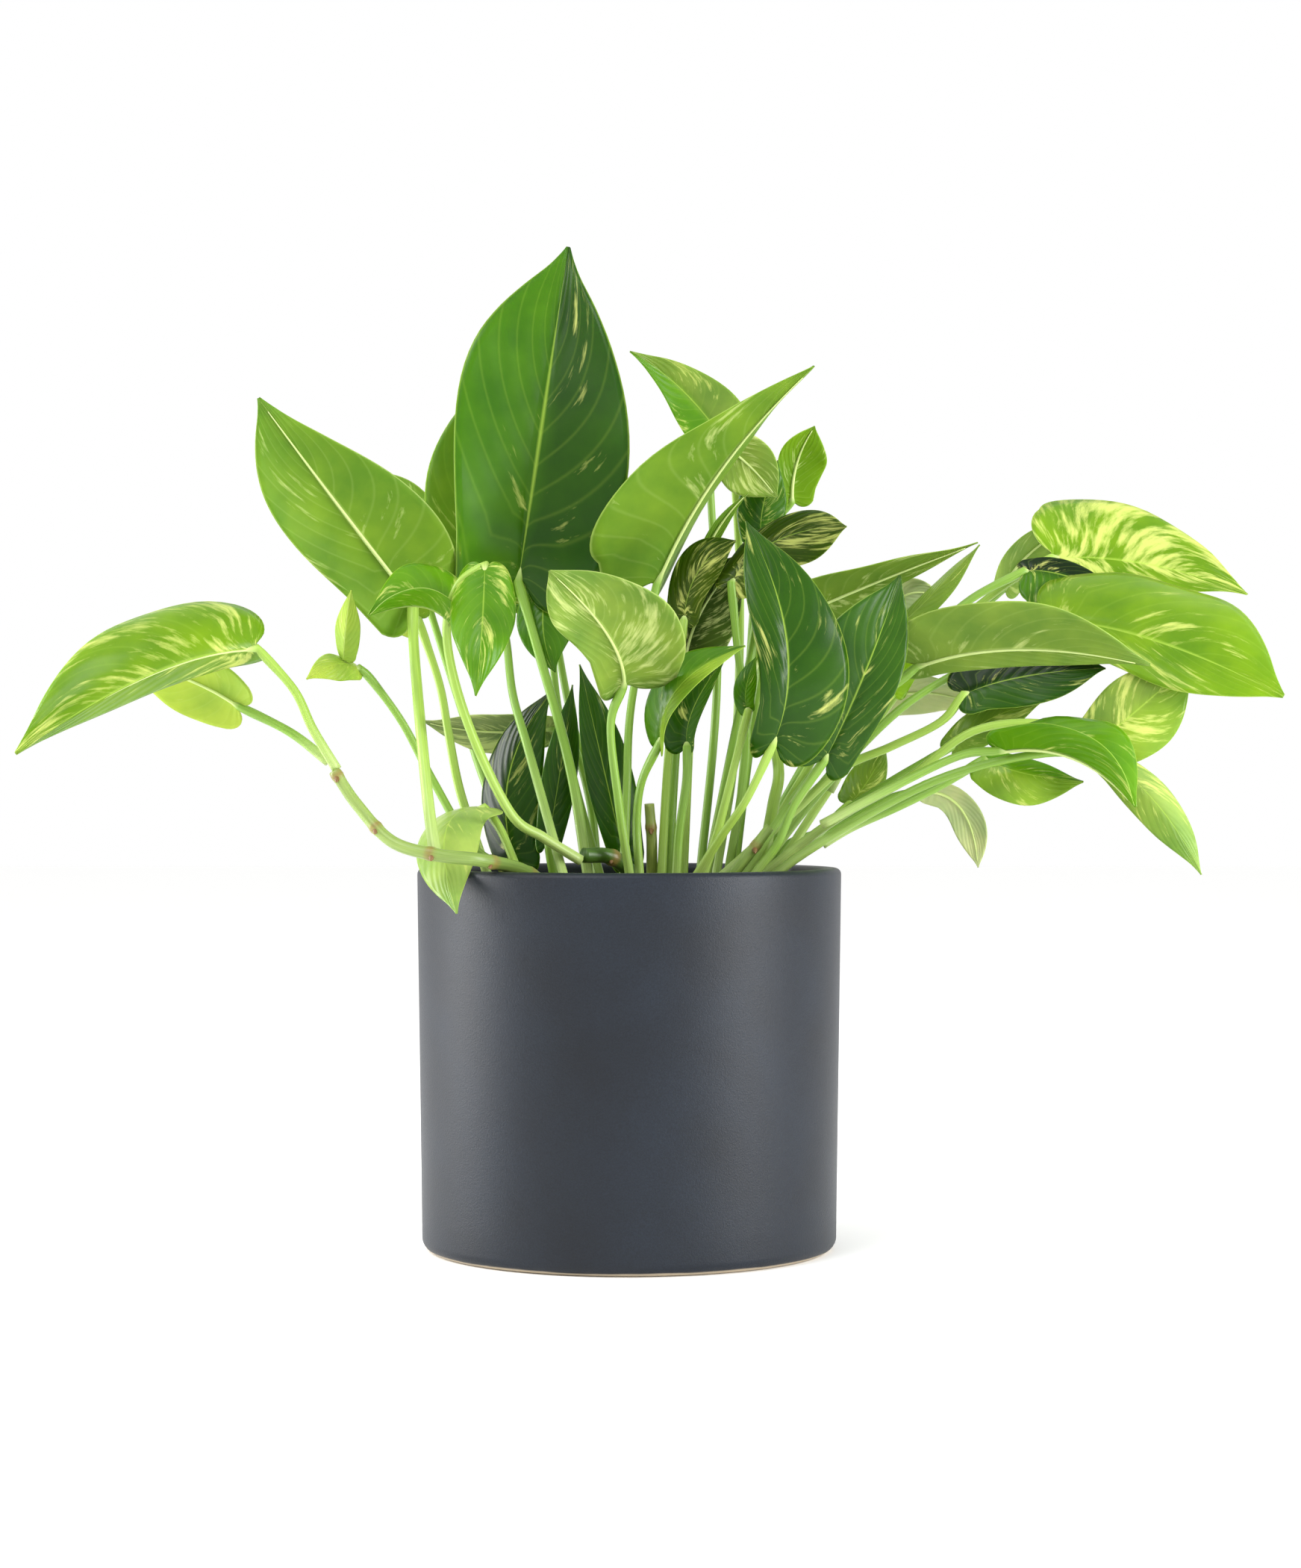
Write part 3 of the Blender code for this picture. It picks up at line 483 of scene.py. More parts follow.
        tone=("grey", "grey"), marks=0.6,
        stalk=[(-13, 26, 146), (-16, 29, 177), (-23, 31, 201)],
        base=(-32, 32, 209), mid=(-60, 33, 208), tip=(-85, 28, 212), face=(0, 0.8, 0.6),
        width=(11, 10),
    ),
    leaf_over_rim=dict(
        tone=("pale", "pale"), marks=0.15,
        stalk=[(-42, -30, 148), (-50, -26, 167)],
        base=(-57, -22, 177), mid=(-71, -42, 168), tip=(-65, -74, 137), face=(-0.3, -0.8, 0.5),
        width=(14, 13),
    ),
    leaf_front_folded=dict(
        tone=("deep", "lime"), marks=0.05,
        stalk=[(4, -21, 152), (3, -23, 171), (5, -27, 187)],
        base=(12, -32, 202), mid=(20, -45, 224), tip=(45, -55, 239), face=(-0.3, -0.85, 0.4),
        width=(14, 8), fold=(0, -25), curl=(20, 0), taper=(1, 0.6),
    ),
    leaf_black_green=dict(
        tone=("dark", "deep"), marks=0.05,
        stalk=[(19, -5, 152), (20, -6, 167), (23, -8, 189)],
        base=(23, -10, 201), mid=(26, -12, 217), tip=(39, -12, 237), face=(0, -1, 0),
        width=(12, 4),
    ),
    leaf_small_centre=dict(
        tone=("deep", "bright"), marks=0.1,
        stalk=[(30, -18, 152), (35, -20, 167), (41, -24, 191)],
        base=(47, -28, 215), mid=(46, -28, 223), tip=(50, -25, 236), face=(0, -0.9, 0.2),
        width=(5, 4),
    ),
    leaf_small_yellow=dict(
        tone=("lime", "fresh"), marks=0.25,
        stalk=[(47, -7, 152), (68, -5, 183), (92, 3, 210)],
        base=(106, 6, 222), mid=(109, 6, 233), tip=(119, 2, 252), face=(0, -0.9, 0.2),
        width=(8, 8),
    ),
    leaf_small_grey=dict(
        tone=("cream", "cream"), marks=0.1,
        stalk=[(48, 30, 152), (74, 38, 198)],
        base=(103, 28, 253), mid=(114, 28, 264), tip=(128, 26, 262), face=(0, 0.9, 0.3),
        width=(8, 8),
    ),
    leaf_left_rear=dict(
        tone=("yellow", "lime"), marks=0.2,
        stalk=[(-59, -2, 156), (-68, 0, 183), (-73, 4, 207), (-77, 9, 227)],
        base=(-86, 16, 253), mid=(-101, 16, 265), tip=(-114, 14, 280), face=(0, -1, 0),
        width=(12, 9),
    ),
    leaf_right_shaded=dict(
        tone=("moss", "moss"), marks=0.3,
        stalk=[(66, 4, 156), (83, 5, 172), (107, 5, 188)],
        base=(130, 4, 201), mid=(145, 4, 212), tip=(167, 0, 220), face=(0, -0.9, 0.4),
        width=(8, 9),
    ),
    leaf_rear_tall=dict(
        tone=("deep", "deep"), marks=0.2,
        stalk=[(-4, 35, 151), (-23, 48, 208)],
        base=(-34, 58, 264), mid=(-32, 72, 300), tip=(-25, 80, 342), face=(0.1, 0.9, 0.35),
        width=(28, 28), fold=(-15, -15),
    ),
    leaf_rear_middle=dict(
        tone=("mid", "mid"), marks=0.15,
        stalk=[(53, 12, 151), (58, 13, 177), (60, 18, 196)],
        base=(51, 66, 233), mid=(59, 84, 250), tip=(73, 104, 270), face=(0.2, 0.7, 0.7),
        width=(22, 22), fold=(-10, -10), radii=(3.2, 2.2),
    ),
    leaf_rear_left=dict(
        tone=("mid", "soft"), marks=0.2,
        stalk=[(-44, 20, 150), (-60, 36, 187), (-70, 48, 216)],
        base=(-89, 50, 276), mid=(-108, 64, 296), tip=(-134, 70, 316), face=(-0.4, 0.8, 0.4),
        width=(24, 24), fold=(-10, -10),
    ),
)
VINES = dict(
    vine_left=dict(
        points=[(-24, -20, 139), (-40, -46, 152), (-56, -69, 157), (-72, -73, 159), (-90, -66, 164),
                (-104, -59, 178), (-113, -57, 191)],
        radii=(2.8, 2.2),
    ),
    vine_front=dict(points=[(11, -4, 139), (-5, -19, 156), (-18, -27, 158)], radii=(3.2, 3.0)),
    vine_centre=dict(points=[(9, 12, 139), (9, 8, 162), (8, 6, 178)], radii=(2.4, 2.0)),
    vine_right=dict(points=[(31, -12, 139), (42, -15, 151), (56, -16, 169)], radii=(2.4, 2.0)),
)
OUTLINE = (
    (0.0, 0.06), (-0.055, 0.22), (-0.07, 0.45), (-0.03, 0.68), (0.08, 0.88), (0.22, 0.99), (0.36, 0.99),
    (0.5, 0.88), (0.64, 0.68), (0.77, 0.44), (0.88, 0.21), (0.95, 0.09), (1.0, 0.02),
)
print(len(LEAVES), "leaves and", len(VINES), "vines in the tables")

# %% [markdown]
# ## Curves through points
# A stalk bends smoothly through its few points. Catmull-Rom does that: it passes every point, and the
# direction at each one is set by its neighbours.

# %% Smooth paths
def smooth_path(points, steps=8):
    """A smooth line through the points, as an array."""
    knots = np.array(points, float)
    knots = np.vstack([2 * knots[0] - knots[1], knots, 2 * knots[-1] - knots[-2]])
    line = []
    for before, start, end, after in zip(knots, knots[1:], knots[2:], knots[3:]):
        for step in np.arange(steps) / steps:
            bend = 2 * before - 5 * start + 4 * end - after
            turn = 3 * start - before - 3 * end + after
            line.append(start + 0.5 * step * (end - before + step * (bend + step * turn)))
    return np.array(line + [knots[-2]])


def unit(vectors):
    """The vectors at a length of one."""
    return vectors / np.maximum(np.linalg.norm(vectors, axis=-1, keepdims=True), 1e-9)


print("a bend through three points:", len(smooth_path([(0, 0, 0), (0, 5, 20), (0, 20, 30)])), "points")

# %% [markdown]
# ## Tubes from a grid
# Blades, stalks, vines and the soil all start as one flat grid with a UV map. Its corners are moved to
# their places, and then its seam is merged and its ends are filled, which leaves a closed shape.

# %% Grids and tubes
def new_grid(around, along):
    """A flat grid with a UV map, tint and seed: X from 0 to 1 is across or around, and Y is along."""
    shape = bmesh.new()
    skin = shape.loops.layers.uv.new("skin")
    shape.verts.layers.float_color.new("tint")
    shape.verts.layers.float.new("seed")
    bmesh.ops.create_grid(shape, x_segments=around, y_segments=along, size=0.5,
                          matrix=Matrix.Translation((0.5, 0.5, 0.0)))
    for face in shape.faces:
        for loop in face.loops:
            loop[skin].uv = loop.vert.co.xy
    return shape


def wrap(shape, places, tints, seed=0.0):
    """Moves the grid to its places (along, around, 3) in millimetres, and closes its seam and ends."""
    along, around = places.shape[0] - 1, places.shape[1] - 1
    tint, seeds = shape.verts.layers.float_color["tint"], shape.verts.layers.float["seed"]
    for corner in shape.verts:
        row, column = round(corner.co.y * along), round(corner.co.x * around)
        corner[tint] = tints[row, column]
        corner[seeds] = seed
        corner.co = places[row, column] * MM
    bmesh.ops.remove_doubles(shape, verts=shape.verts, dist=1e-7)
    rims = [edge for edge in shape.edges if edge.is_boundary]
    bmesh.ops.holes_fill(shape, edges=rims, sides=0)
    bmesh.ops.recalc_face_normals(shape, faces=shape.faces)
    return shape


def tube(path, radii, up, tints, sides=12, groove=0.0, seed=0.0, slot=0):
    """A closed stem along a path, with a groove on the side that faces up."""
    direction = unit(np.gradient(path, axis=0))
    top = [unit(up - direction[0] * np.dot(up, direction[0]))]
    for step in range(1, len(path)):
        top.append(unit(top[-1] - direction[step] * np.dot(top[-1], direction[step])))
    top = np.array(top)
    side = np.cross(direction, top)
    turns = np.linspace(0, 2 * math.pi, sides + 1)
    swing = np.minimum(turns, 2 * math.pi - turns)
    reach = np.outer(radii, 1 - groove * np.exp(-(swing / 0.55) ** 2))
    places = path[:, None] + reach[..., None] * (
        np.cos(turns)[None, :, None] * top[:, None] + np.sin(turns)[None, :, None] * side[:, None])
    places[:, -1] = places[:, 0]
    shape = new_grid(sides, len(path) - 1)
    for face in shape.faces:
        face.material_index = slot
    return wrap(shape, places, np.repeat(tints[:, None], sides + 1, axis=1), seed)


def placed(name, shapes, materials):
    """One object from several closed shapes."""
    mesh = bpy.data.meshes.new(name)
    whole = bmesh.new()
    for shape in shapes:
        shape.to_mesh(mesh)
        shape.free()
        whole.from_mesh(mesh)
    whole.to_mesh(mesh)
    whole.free()
    mesh.shade_smooth()
    for made_of in materials:
        mesh.materials.append(made_of)
    piece = bpy.data.objects.new(name, mesh)
    bpy.context.scene.collection.objects.link(piece)
    return piece


print("a grid of 4 by 2 has", len(new_grid(4, 2).faces), "faces")

# %% [markdown]
# ## The leaf blade
# A blade is a heart-shaped sheet bent along its midrib. It is made here as a flat tube: the grid's first
# half is the upper side, from the left edge to the right, and its second half comes back underneath.
# The midrib is sunk, the tissue swells between the side veins, and the edge waves a little.

# %% Outline and midrib
ROWS, COLUMNS = 40, 20
MIDRIB_POINTS = 33
MIDRIB_MIDDLE = MIDRIB_POINTS // 2


def outline_at(along):
    """(distance, half width) of the outline at shares of its length, as two arrays."""
    points = np.array(OUTLINE)
    place = along * (len(points) - 1)
    index = np.minimum(place.astype(int), len(points) - 2)
    step = (place - index)[:, None]
    near = [points[np.clip(index + shift, 0, len(points) - 1)] for shift in (-1, 0, 1, 2)]
    before, start, end, after = near
    bend = 2 * before - 5 * start + 4 * end - after
    turn = 3 * start - before - 3 * end + after
    return (start + 0.5 * step * (end - before + step * (bend + step * turn))).T


def midrib_frame(blade):
    """Shares of length, points, directions and upper-side normals along the midrib, and its length."""
    base, middle, tip = (np.array(blade[key], float) for key in ("base", "mid", "tip"))
    t = np.linspace(0, 1, MIDRIB_POINTS)[:, None]
    points = (1 - t) * (1 - 2 * t) * base + 4 * t * (1 - t) * middle + t * (2 * t - 1) * tip
    direction = unit((4 * t - 3) * base + (4 - 8 * t) * middle + (4 * t - 1) * tip)
    steps = np.linalg.norm(np.diff(points, axis=0), axis=1)
    length = steps.sum()
    shares = np.concatenate([[0], np.cumsum(steps)]) / length
    normal = np.tile(np.array(blade["face"], float), (MIDRIB_POINTS, 1))
    # The normal is set at the middle, then carried to the tip and to the base without turning.
    for order in (range(MIDRIB_MIDDLE, MIDRIB_POINTS), range(MIDRIB_MIDDLE - 1, -1, -1)):
        for step in order:
            near = step + int(np.sign(MIDRIB_MIDDLE - step))
            normal[step] = unit(normal[near] - direction[step] * np.dot(normal[near], direction[step]))
    side = np.cross(direction, normal)
    turn = np.radians(blade.get("twist", 0)) * (shares - 0.5)[:, None]
    return shares, points, direction, normal * np.cos(turn) + side * np.sin(turn), length


print("the longest midrib:", round(max(midrib_frame(leaf)[-1] for leaf in LEAVES.values())), "mm")

# %% [markdown]
# ## The sheet and its relief
# Each half of the blade folds down from the midrib and curls on towards its edge, so a point's place is
# found along an arc. The relief is then added to the height of the arc, and the sheet is given a
# thickness that falls off towards the edge.

# %% Places of a blade
SIDE_SWEEP = 1.35
MIDRIB_EASING = 1.15
USUAL_TAPER, USUAL_BEND = (0.75, 0.75), (10, 10)
LEAST_WIDTH, LEAST_CURL = 0.3, 0.001
MIDRIB_DEPTH, MIDRIB_WIDTH = 0.5, 1.3
SWELLING = 0.11
EDGE_WAVE, WAVES_PER_EDGE = 0.03, 2.3
HALF_THICKNESS = 0.30


def interpolated(places, shares, values):
    """The values, given at shares of the length, at other places along it."""
    return np.stack([np.interp(places, shares, values[:, k]) for k in range(3)], -1)


def blade_places(blade, seed):
    """The places of the blade's flat tube, and which side each column is on."""
    shares, points, directions, normals, length = midrib_frame(blade)
    along = np.linspace(0, 1, ROWS + 1)
    half = np.linspace(-1, 1, COLUMNS + 1)
    distance, half_width = outline_at(along)
    taper = np.where(half < 0, *blade.get("taper", USUAL_TAPER))[None]
    edge = np.where(distance[:, None] > 0, np.maximum(distance, 0)[:, None] ** taper, distance[:, None])
    centre = (along ** MIDRIB_EASING)[:, None]
    reach = np.abs(half)[None]
    place = centre + (edge - centre) * reach ** SIDE_SWEEP
    width = np.where(half < 0, *blade["width"])[None]
    fold = np.radians(np.where(half < 0, *blade.get("fold", USUAL_BEND)))[None]
    curl = np.radians(np.where(half < 0, *blade.get("curl", USUAL_BEND)))[None]
    curl = np.where(np.abs(curl) < LEAST_CURL, LEAST_CURL, curl)
    share = np.maximum(half_width[:, None], LEAST_WIDTH / width) * reach
    out = width * (np.sin(fold + curl * share) - np.sin(fold)) / curl * np.sign(half)[None]
    rise = width * (np.cos(fold + curl * share) - np.cos(fold)) / curl
    # Relief in millimetres: the sunk midrib, the swelling between veins and the waved edge.
    swept = place - VEIN_SWEEP * reach
    strength = np.clip(width * share / 12, 0, 1) * (1 - reach ** 4)
    rise = rise - MIDRIB_DEPTH * np.exp(-(out / MIDRIB_WIDTH) ** 2) * (1 - centre)
    rise = rise + SWELLING * strength * np.sin(2 * math.pi * VEINS_PER_LEAF * swept)
    phase = 2 * math.pi * (WAVES_PER_EDGE * place + seed) + 1.7 * (half < 0)[None]
    rise = rise + EDGE_WAVE * width * reach ** 3 * np.sin(phase)
    inside = np.clip(place, 0, 1)
    direction = unit(interpolated(inside, shares, directions))
    normal = unit(interpolated(inside, shares, normals))
    before_base = directions[0] * (np.minimum(place, 0) * length)[..., None]
    middle = interpolated(inside, shares, points) + before_base
    sheet = middle + np.cross(direction, normal) * out[..., None] + normal * rise[..., None]
    facing = unit(np.cross(np.gradient(sheet, axis=0), np.gradient(sheet, axis=1)))
    facing *= np.sign((facing * normal).sum(-1, keepdims=True) + 1e-9)
    thick = (HALF_THICKNESS * (1 - 0.6 * reach ** 2))[..., None] * np.ones((ROWS + 1, 1, 1))
    upper, under = sheet + facing * thick, sheet - facing * thick
    return np.concatenate([upper, under[:, ::-1], upper[:, :1]], axis=1)


print("a blade has", ROWS + 1, "rows of", 2 * COLUMNS + 2, "corners")

# %% [markdown]
# ## Tints and the finished blade
# The two halves of a leaf may take different greens: painted light and shade, where a half folded away from
# the light is darker. The underside is paler. The tints blend across the midrib, and each face takes the
# material of its side.

# %% Tints and blades
UNDERSIDE_GREY = "#a9bd83"
MIDRIB_BLEND = 2.5


def leaf_tints(blade, marks):
    """The tint of each corner of the flat tube: the side that shows most has the stated tones."""
    shown = [np.array(linear(LEAF_GREENS_AND_SHADES[name])) for name in blade["tone"]]
    if blade["face"][1] < 0.2:
        upper, under = shown, [tone * 0.65 + np.array(linear(UNDERSIDE_GREY)) * 0.35 for tone in shown]
    else:
        upper, under = [tone * 0.75 for tone in shown], shown
    # The two halves' greens blend across the midrib; the darker half is painted shade, where that half
    # turns away from the light.
    share = np.clip(np.linspace(-1, 1, COLUMNS + 1)[:, None] * MIDRIB_BLEND + 0.5, 0, 1)
    rows = [(1 - share) * sides[0] + share * sides[1] for sides in (upper, under)]
    ring = np.concatenate([rows[0], rows[1][::-1], rows[0][:1]])
    ring = np.concatenate([ring, np.full((len(ring), 1), marks)], axis=1)
    return np.repeat(ring[None], ROWS + 1, axis=0)


def blade_shape(blade, marks, seed):
    """The closed blade, with its UV map from edge to edge on both sides."""
    shape = new_grid(2 * COLUMNS + 2, ROWS)
    skin = shape.loops.layers.uv["skin"]
    upper_end = (COLUMNS + 0.5) / (2 * COLUMNS + 2)
    for face in shape.faces:
        face.material_index = int(face.calc_center_median().x > upper_end)
        for loop in face.loops:
            column = loop.vert.co.x * (2 * COLUMNS + 2)
            across = column / COLUMNS if column <= COLUMNS else (2 * COLUMNS + 1 - column) / COLUMNS
            loop[skin].uv = (min(max(across, 0.0), 1.0), loop.vert.co.y)
    return wrap(shape, blade_places(blade, seed), leaf_tints(blade, marks), seed)


print("tones to pick from:", ", ".join(LEAF_GREENS_AND_SHADES))

# %% [markdown]
# ## The stalk
# A real stalk leaves the soil or a vine, rises grooved on its upper side, swells at a knee just below
# the blade and runs on under the blade as the midrib, thinner and thinner to the tip. It is paler low
# down, where the sheath clasped it. Here a rooted stalk ends a little above the soil, as in the frame.

# %% Stalks
STALK_START = 137.5
LOW_STALK = 175.0
SOIL_REACH = 77
MOST_LEAN = 1.2
VINE_DEPTH = 4
USUAL_RADII = (2, 1.5)
RIB_POINTS = 18
GROOVE = 0.22


def rooted(points):
    """Carries a stalk that starts low above the pot on down to just above the soil."""
    first, second = np.array(points[0], float), np.array(points[1], float)
    if math.hypot(first[0], first[1]) > SOIL_REACH or first[2] > LOW_STALK:
        return [first] + [np.array(point, float) for point in points[1:]]
    run = (first - second)[:2] / max(second[2] - first[2], 0.5)
    run = run * min(1.0, MOST_LEAN / max(np.linalg.norm(run), 0.001))
    foot = np.append(first[:2] + run * (first[2] - STALK_START), STALK_START)
    return [foot] + [np.array(point, float) for point in points]


def seated(points):
    """Carries a stalk that grows from a vine back towards it."""
    first, second = np.array(points[0], float), np.array(points[1], float)
    return [first + VINE_DEPTH * unit(first - second)] + [np.array(point, float) for point in points[1:]]


def stalk_shape(leaf, index):
    """The stalk and the midrib that it runs on as, in one tapering tube."""
    shares, points, _, normals, _ = midrib_frame(leaf)
    radii = leaf.get("radii", USUAL_RADII)
    joints = leaf["stalk"] + [leaf["base"]]
    line = smooth_path(seated(joints) if leaf.get("on_vine") else rooted(joints))
    rise = np.linspace(0, 1, len(line))
    knee = np.exp(-(np.linalg.norm(line - points[0], axis=1) / 7 - 0.8) ** 2)
    thick = radii[0] + (radii[1] - radii[0]) * rise + 0.22 * radii[1] * knee
    rib_at = np.linspace(0.05, 0.94, RIB_POINTS)
    rib = interpolated(rib_at, shares, points)
    below = interpolated(rib_at, shares, normals)
    rib_thick = radii[1] * 0.42 * (1 - rib_at) ** 0.8 + 0.10
    rib = rib - below * (0.45 + 0.75 * rib_thick)[:, None]
    path = np.vstack([line, rib])
    low, high = np.array(linear("#aac174")), np.array(linear("#7ea63c" if index % 3 else "#98ba4c"))
    shade = low + (high - low) * np.clip(rise * 2.2, 0, 1)[:, None]
    rib_shade = np.tile(np.array(linear("#c6d88c")), (len(rib), 1))
    tints = np.column_stack([np.vstack([shade, rib_shade]), np.zeros(len(path))])
    thick = np.concatenate([thick, rib_thick])
    return tube(path, thick, normals[0], tints, groove=GROOVE, seed=index, slot=2)


print("a stalk and its midrib:", len(stalk_shape(LEAVES["leaf_top"], 0).faces), "faces")

# %% [markdown]
# ## All fifty leaves
# A leaf is its blade, its stalk and, on two of them, a second lobe, in one object with three materials.
# It replaces the frame's plain solid of the same name.

# %% Build the leaves
SEED_STEP = 0.618

for index, (name, leaf) in enumerate(LEAVES.items()):
    seed = index * SEED_STEP
    shapes = [blade_shape(leaf, leaf["marks"], seed), stalk_shape(leaf, index)]
    if "flap" in leaf:
        flap = dict(leaf["flap"], tone=leaf["tone"])
        shapes.append(blade_shape(flap, leaf["marks"], seed + 0.3))
    piece = placed(name + "_fresh", shapes, [leaf_top_skin, leaf_under_skin, stem_skin])
    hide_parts(name)
    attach(piece, "root")
print("leaves built:", len(LEAVES), "with", ROWS * COLUMNS * 2, "faces on each blade")

# %% [markdown]
# ## The vines
# A vine is the pothos's real stem: jointed, with a ring at each node and a small brown root nub that
# would grip a tree. Its green is darker where it is older.

# %% Vines with nodes and root nubs
NODE_SPACING = 26.0
FIRST_NODE = 9.0
RING_WIDTH, RING_SWELLING = 1.5, 0.16
UPWARDS = np.array([0.0, 0.0, 1.0])
NUB_DIRECTION = np.array([0.0, -0.85, -0.5])
NUB_REACHES, NUB_RADII = (1.0, 2.2, 3.6, 5.0), (1.4, 1.2, 0.8, 0.2)
VINE_GREENS = dict(
    vine_left=("#5f7c2e", "#8ca456"), vine_front=("#34521a", "#41621f"), vine_centre=("#77853a", "#8f9f4e"),
    vine_right=("#6a8834", "#8fab55"),
)


def vine_shapes(points, radii, greens, index):
    """The vine's tube, and a root nub at each of its nodes."""
    line = smooth_path(points, 14)
    run = np.concatenate([[0], np.cumsum(np.linalg.norm(np.diff(line, axis=0), axis=1))])
    gap = np.abs((run + FIRST_NODE) % NODE_SPACING - NODE_SPACING / 2)
    ring = np.exp(-(gap / RING_WIDTH) ** 2)
    thick = np.linspace(radii[0], radii[1], len(line)) * (1 + RING_SWELLING * ring)
    green, pale, scar = (np.array(linear(code)) for code in (*greens, "#8a6a3a"))
    shade = green + (pale - green) * np.clip(run / run[-1] * 1.6 - 0.2, 0, 1)[:, None]
    shade = shade + (scar - shade) * (0.75 * ring)[:, None]
    tints = np.column_stack([shade, np.zeros(len(line))])
    shapes = [tube(line, thick, UPWARDS, tints, sides=16, seed=index)]
    for step in range(1, len(line) - 1):
        if gap[step] <= gap[step - 1] and gap[step] < gap[step + 1] and gap[step] < 2.5:
            nub = np.array([line[step] + NUB_DIRECTION * reach for reach in NUB_REACHES])
            brown = np.tile(np.array([*linear("#7b5a34"), 0.0]), (len(nub), 1))
            shapes.append(tube(nub, np.array(NUB_RADII), UPWARDS, brown, sides=8))
    return shapes


for index, (name, vine) in enumerate(VINES.items()):
    shapes = vine_shapes(vine["points"], vine["radii"], VINE_GREENS[name], index)
    piece = placed(name + "_fresh", shapes, [stem_skin])
    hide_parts(name)
    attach(piece, "root")
print("vines built:", len(VINES))

# %% [markdown]
# ## The pot
# It is slip-cast stoneware, nearly a straight cylinder, with a softly rounded rim. The profile is drawn
# as points, from the middle of the inside over the rim to the middle of the underside, and is then spun
# about the upright axis.

# %% Pot shape
POT_HEIGHT, POT_RADIUS, POT_TAPER, POT_WALL = 152.4, 85.0, 2.0, 8.0
POT_FLOOR, POT_ROUNDING, RIM_ROUNDING = 9.0, 5.0, 2.5
POT_TURN_STEPS, POT_SIDE_STEPS = 160, 12


def arc(centre, radius, start, end, steps=8):
    """Points (r, z) of an arc of the profile from one angle to another."""
    turns = np.radians(np.linspace(start, end, steps + 1))
    return [(centre[0] + radius * math.cos(turn), centre[1] + radius * math.sin(turn)) for turn in turns]


def spun(profile, steps):
    """A closed solid of revolution from an (r, z) profile in millimetres."""
    shape = bmesh.new()
    points = [shape.verts.new((radius * MM, 0, height * MM)) for radius, height in profile]
    edges = [shape.edges.new(pair) for pair in zip(points, points[1:])]
    bmesh.ops.spin(shape, geom=points + edges, axis=(0, 0, 1), cent=(0, 0, 0), angle=2 * math.pi,
                   steps=steps, use_merge=True)
    bmesh.ops.remove_doubles(shape, verts=shape.verts, dist=1e-6)
    bmesh.ops.recalc_face_normals(shape, faces=shape.faces)
    return shape


inner, foot = POT_RADIUS - POT_WALL, POT_RADIUS - POT_TAPER
rim_centre = POT_HEIGHT - RIM_ROUNDING
pot_profile = [(0, POT_FLOOR), (inner - 6, POT_FLOOR), (inner - 2, POT_FLOOR + 2), (inner, POT_FLOOR + 6)]
pot_profile += arc((inner + RIM_ROUNDING, rim_centre), RIM_ROUNDING, 180, 90)
pot_profile += arc((POT_RADIUS - RIM_ROUNDING, rim_centre), RIM_ROUNDING, 90, 0)
for step in range(1, POT_SIDE_STEPS):
    down = (rim_centre - POT_ROUNDING) * step / POT_SIDE_STEPS
    pot_profile.append((POT_RADIUS - POT_TAPER * step / POT_SIDE_STEPS, rim_centre - down))
pot_profile += arc((foot - POT_ROUNDING, POT_ROUNDING), POT_ROUNDING, 0, -90) + [(0, 0)]
print("the pot's profile:", len(pot_profile), "points")

# %% [markdown]
# ## The pot's glaze
# The pot was dipped in a matt charcoal glaze that stops just above the foot, where a thin ragged ring of
# pale clay is left bare. The glaze is a little cloudy and has a fine sandy grain, which breaks up its
# soft highlights.

# %% Glaze
CLAY_LINE, CLAY_SHARPNESS = 0.0010, 1500.0
CLOUD_RAGGEDNESS = -0.0014


def glaze_finish():
    """Matt charcoal glaze: fine sandy grain about 0.7 mm, cloudy shade, bare pale clay at the foot."""
    made, tree, shader = finish("stoneware_matt_charcoal_glaze", IOR=1.5, Specular_IOR_Level=0.34)
    place = add(tree, "TexCoord")
    cloud = add(tree, "TexNoise", Vector=(place, 3), Scale=28.0, Detail=4.0)
    sand = add(tree, "TexNoise", Vector=(place, 3), Scale=1500.0, Detail=3.0, Roughness=0.7)
    charcoals = [(0.3, colour("#0f151e")), (0.7, colour("#161e29"))]
    tone = add(tree, "ValToRGB", dict(stops=charcoals), Fac=cloud)
    specks = [(0.36, (0.72, 0.72, 0.74, 1)), (0.66, (1.22, 1.22, 1.2, 1))]
    speck = add(tree, "ValToRGB", dict(stops=specks), Fac=sand)
    glazed = add(tree, "Mix", SHADE_BY, Factor=1.0, i6=tone, i7=speck)
    height = add(tree, "SeparateXYZ", Vector=(place, 3))
    shift = add(tree, "Math", TIMES, i0=cloud, i1=CLOUD_RAGGEDNESS)
    ragged = add(tree, "Math", PLUS, i0=(height, 2), i1=shift)
    under_line = add(tree, "Math", MINUS, i0=CLAY_LINE, i1=ragged)
    bare = add(tree, "Math", TIMES_CLAMPED, i0=under_line, i1=CLAY_SHARPNESS)
    clay = add(tree, "Mix", BLEND, i0=bare, i6=(glazed, 2), i7=colour("#b9aa92"))
    tree.links.new(clay.outputs[2], shader.inputs["Base Color"])
    rough = add(tree, "MapRange", i0=sand, i3=0.36, i4=0.50)
    tree.links.new(rough.outputs[0], shader.inputs["Roughness"])
    bump = add(tree, "Bump", Height=sand, Strength=0.35, Distance=0.0004)
    tree.links.new(bump.outputs[0], shader.inputs["Normal"])
    return made


pot = placed("pot_glazed", [spun(pot_profile, POT_TURN_STEPS)], [glaze_finish()])
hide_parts("pot")
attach(pot, "root")

# %% [markdown]
# ## The soil
# Potting mix is dark peat in crumbs, with bark and white perlite. The top is a round grid pushed up and
# down by noise, and loose crumbs of peat, bark and perlite lie on it. Gritty noise in the material darkens
# and roughens both.

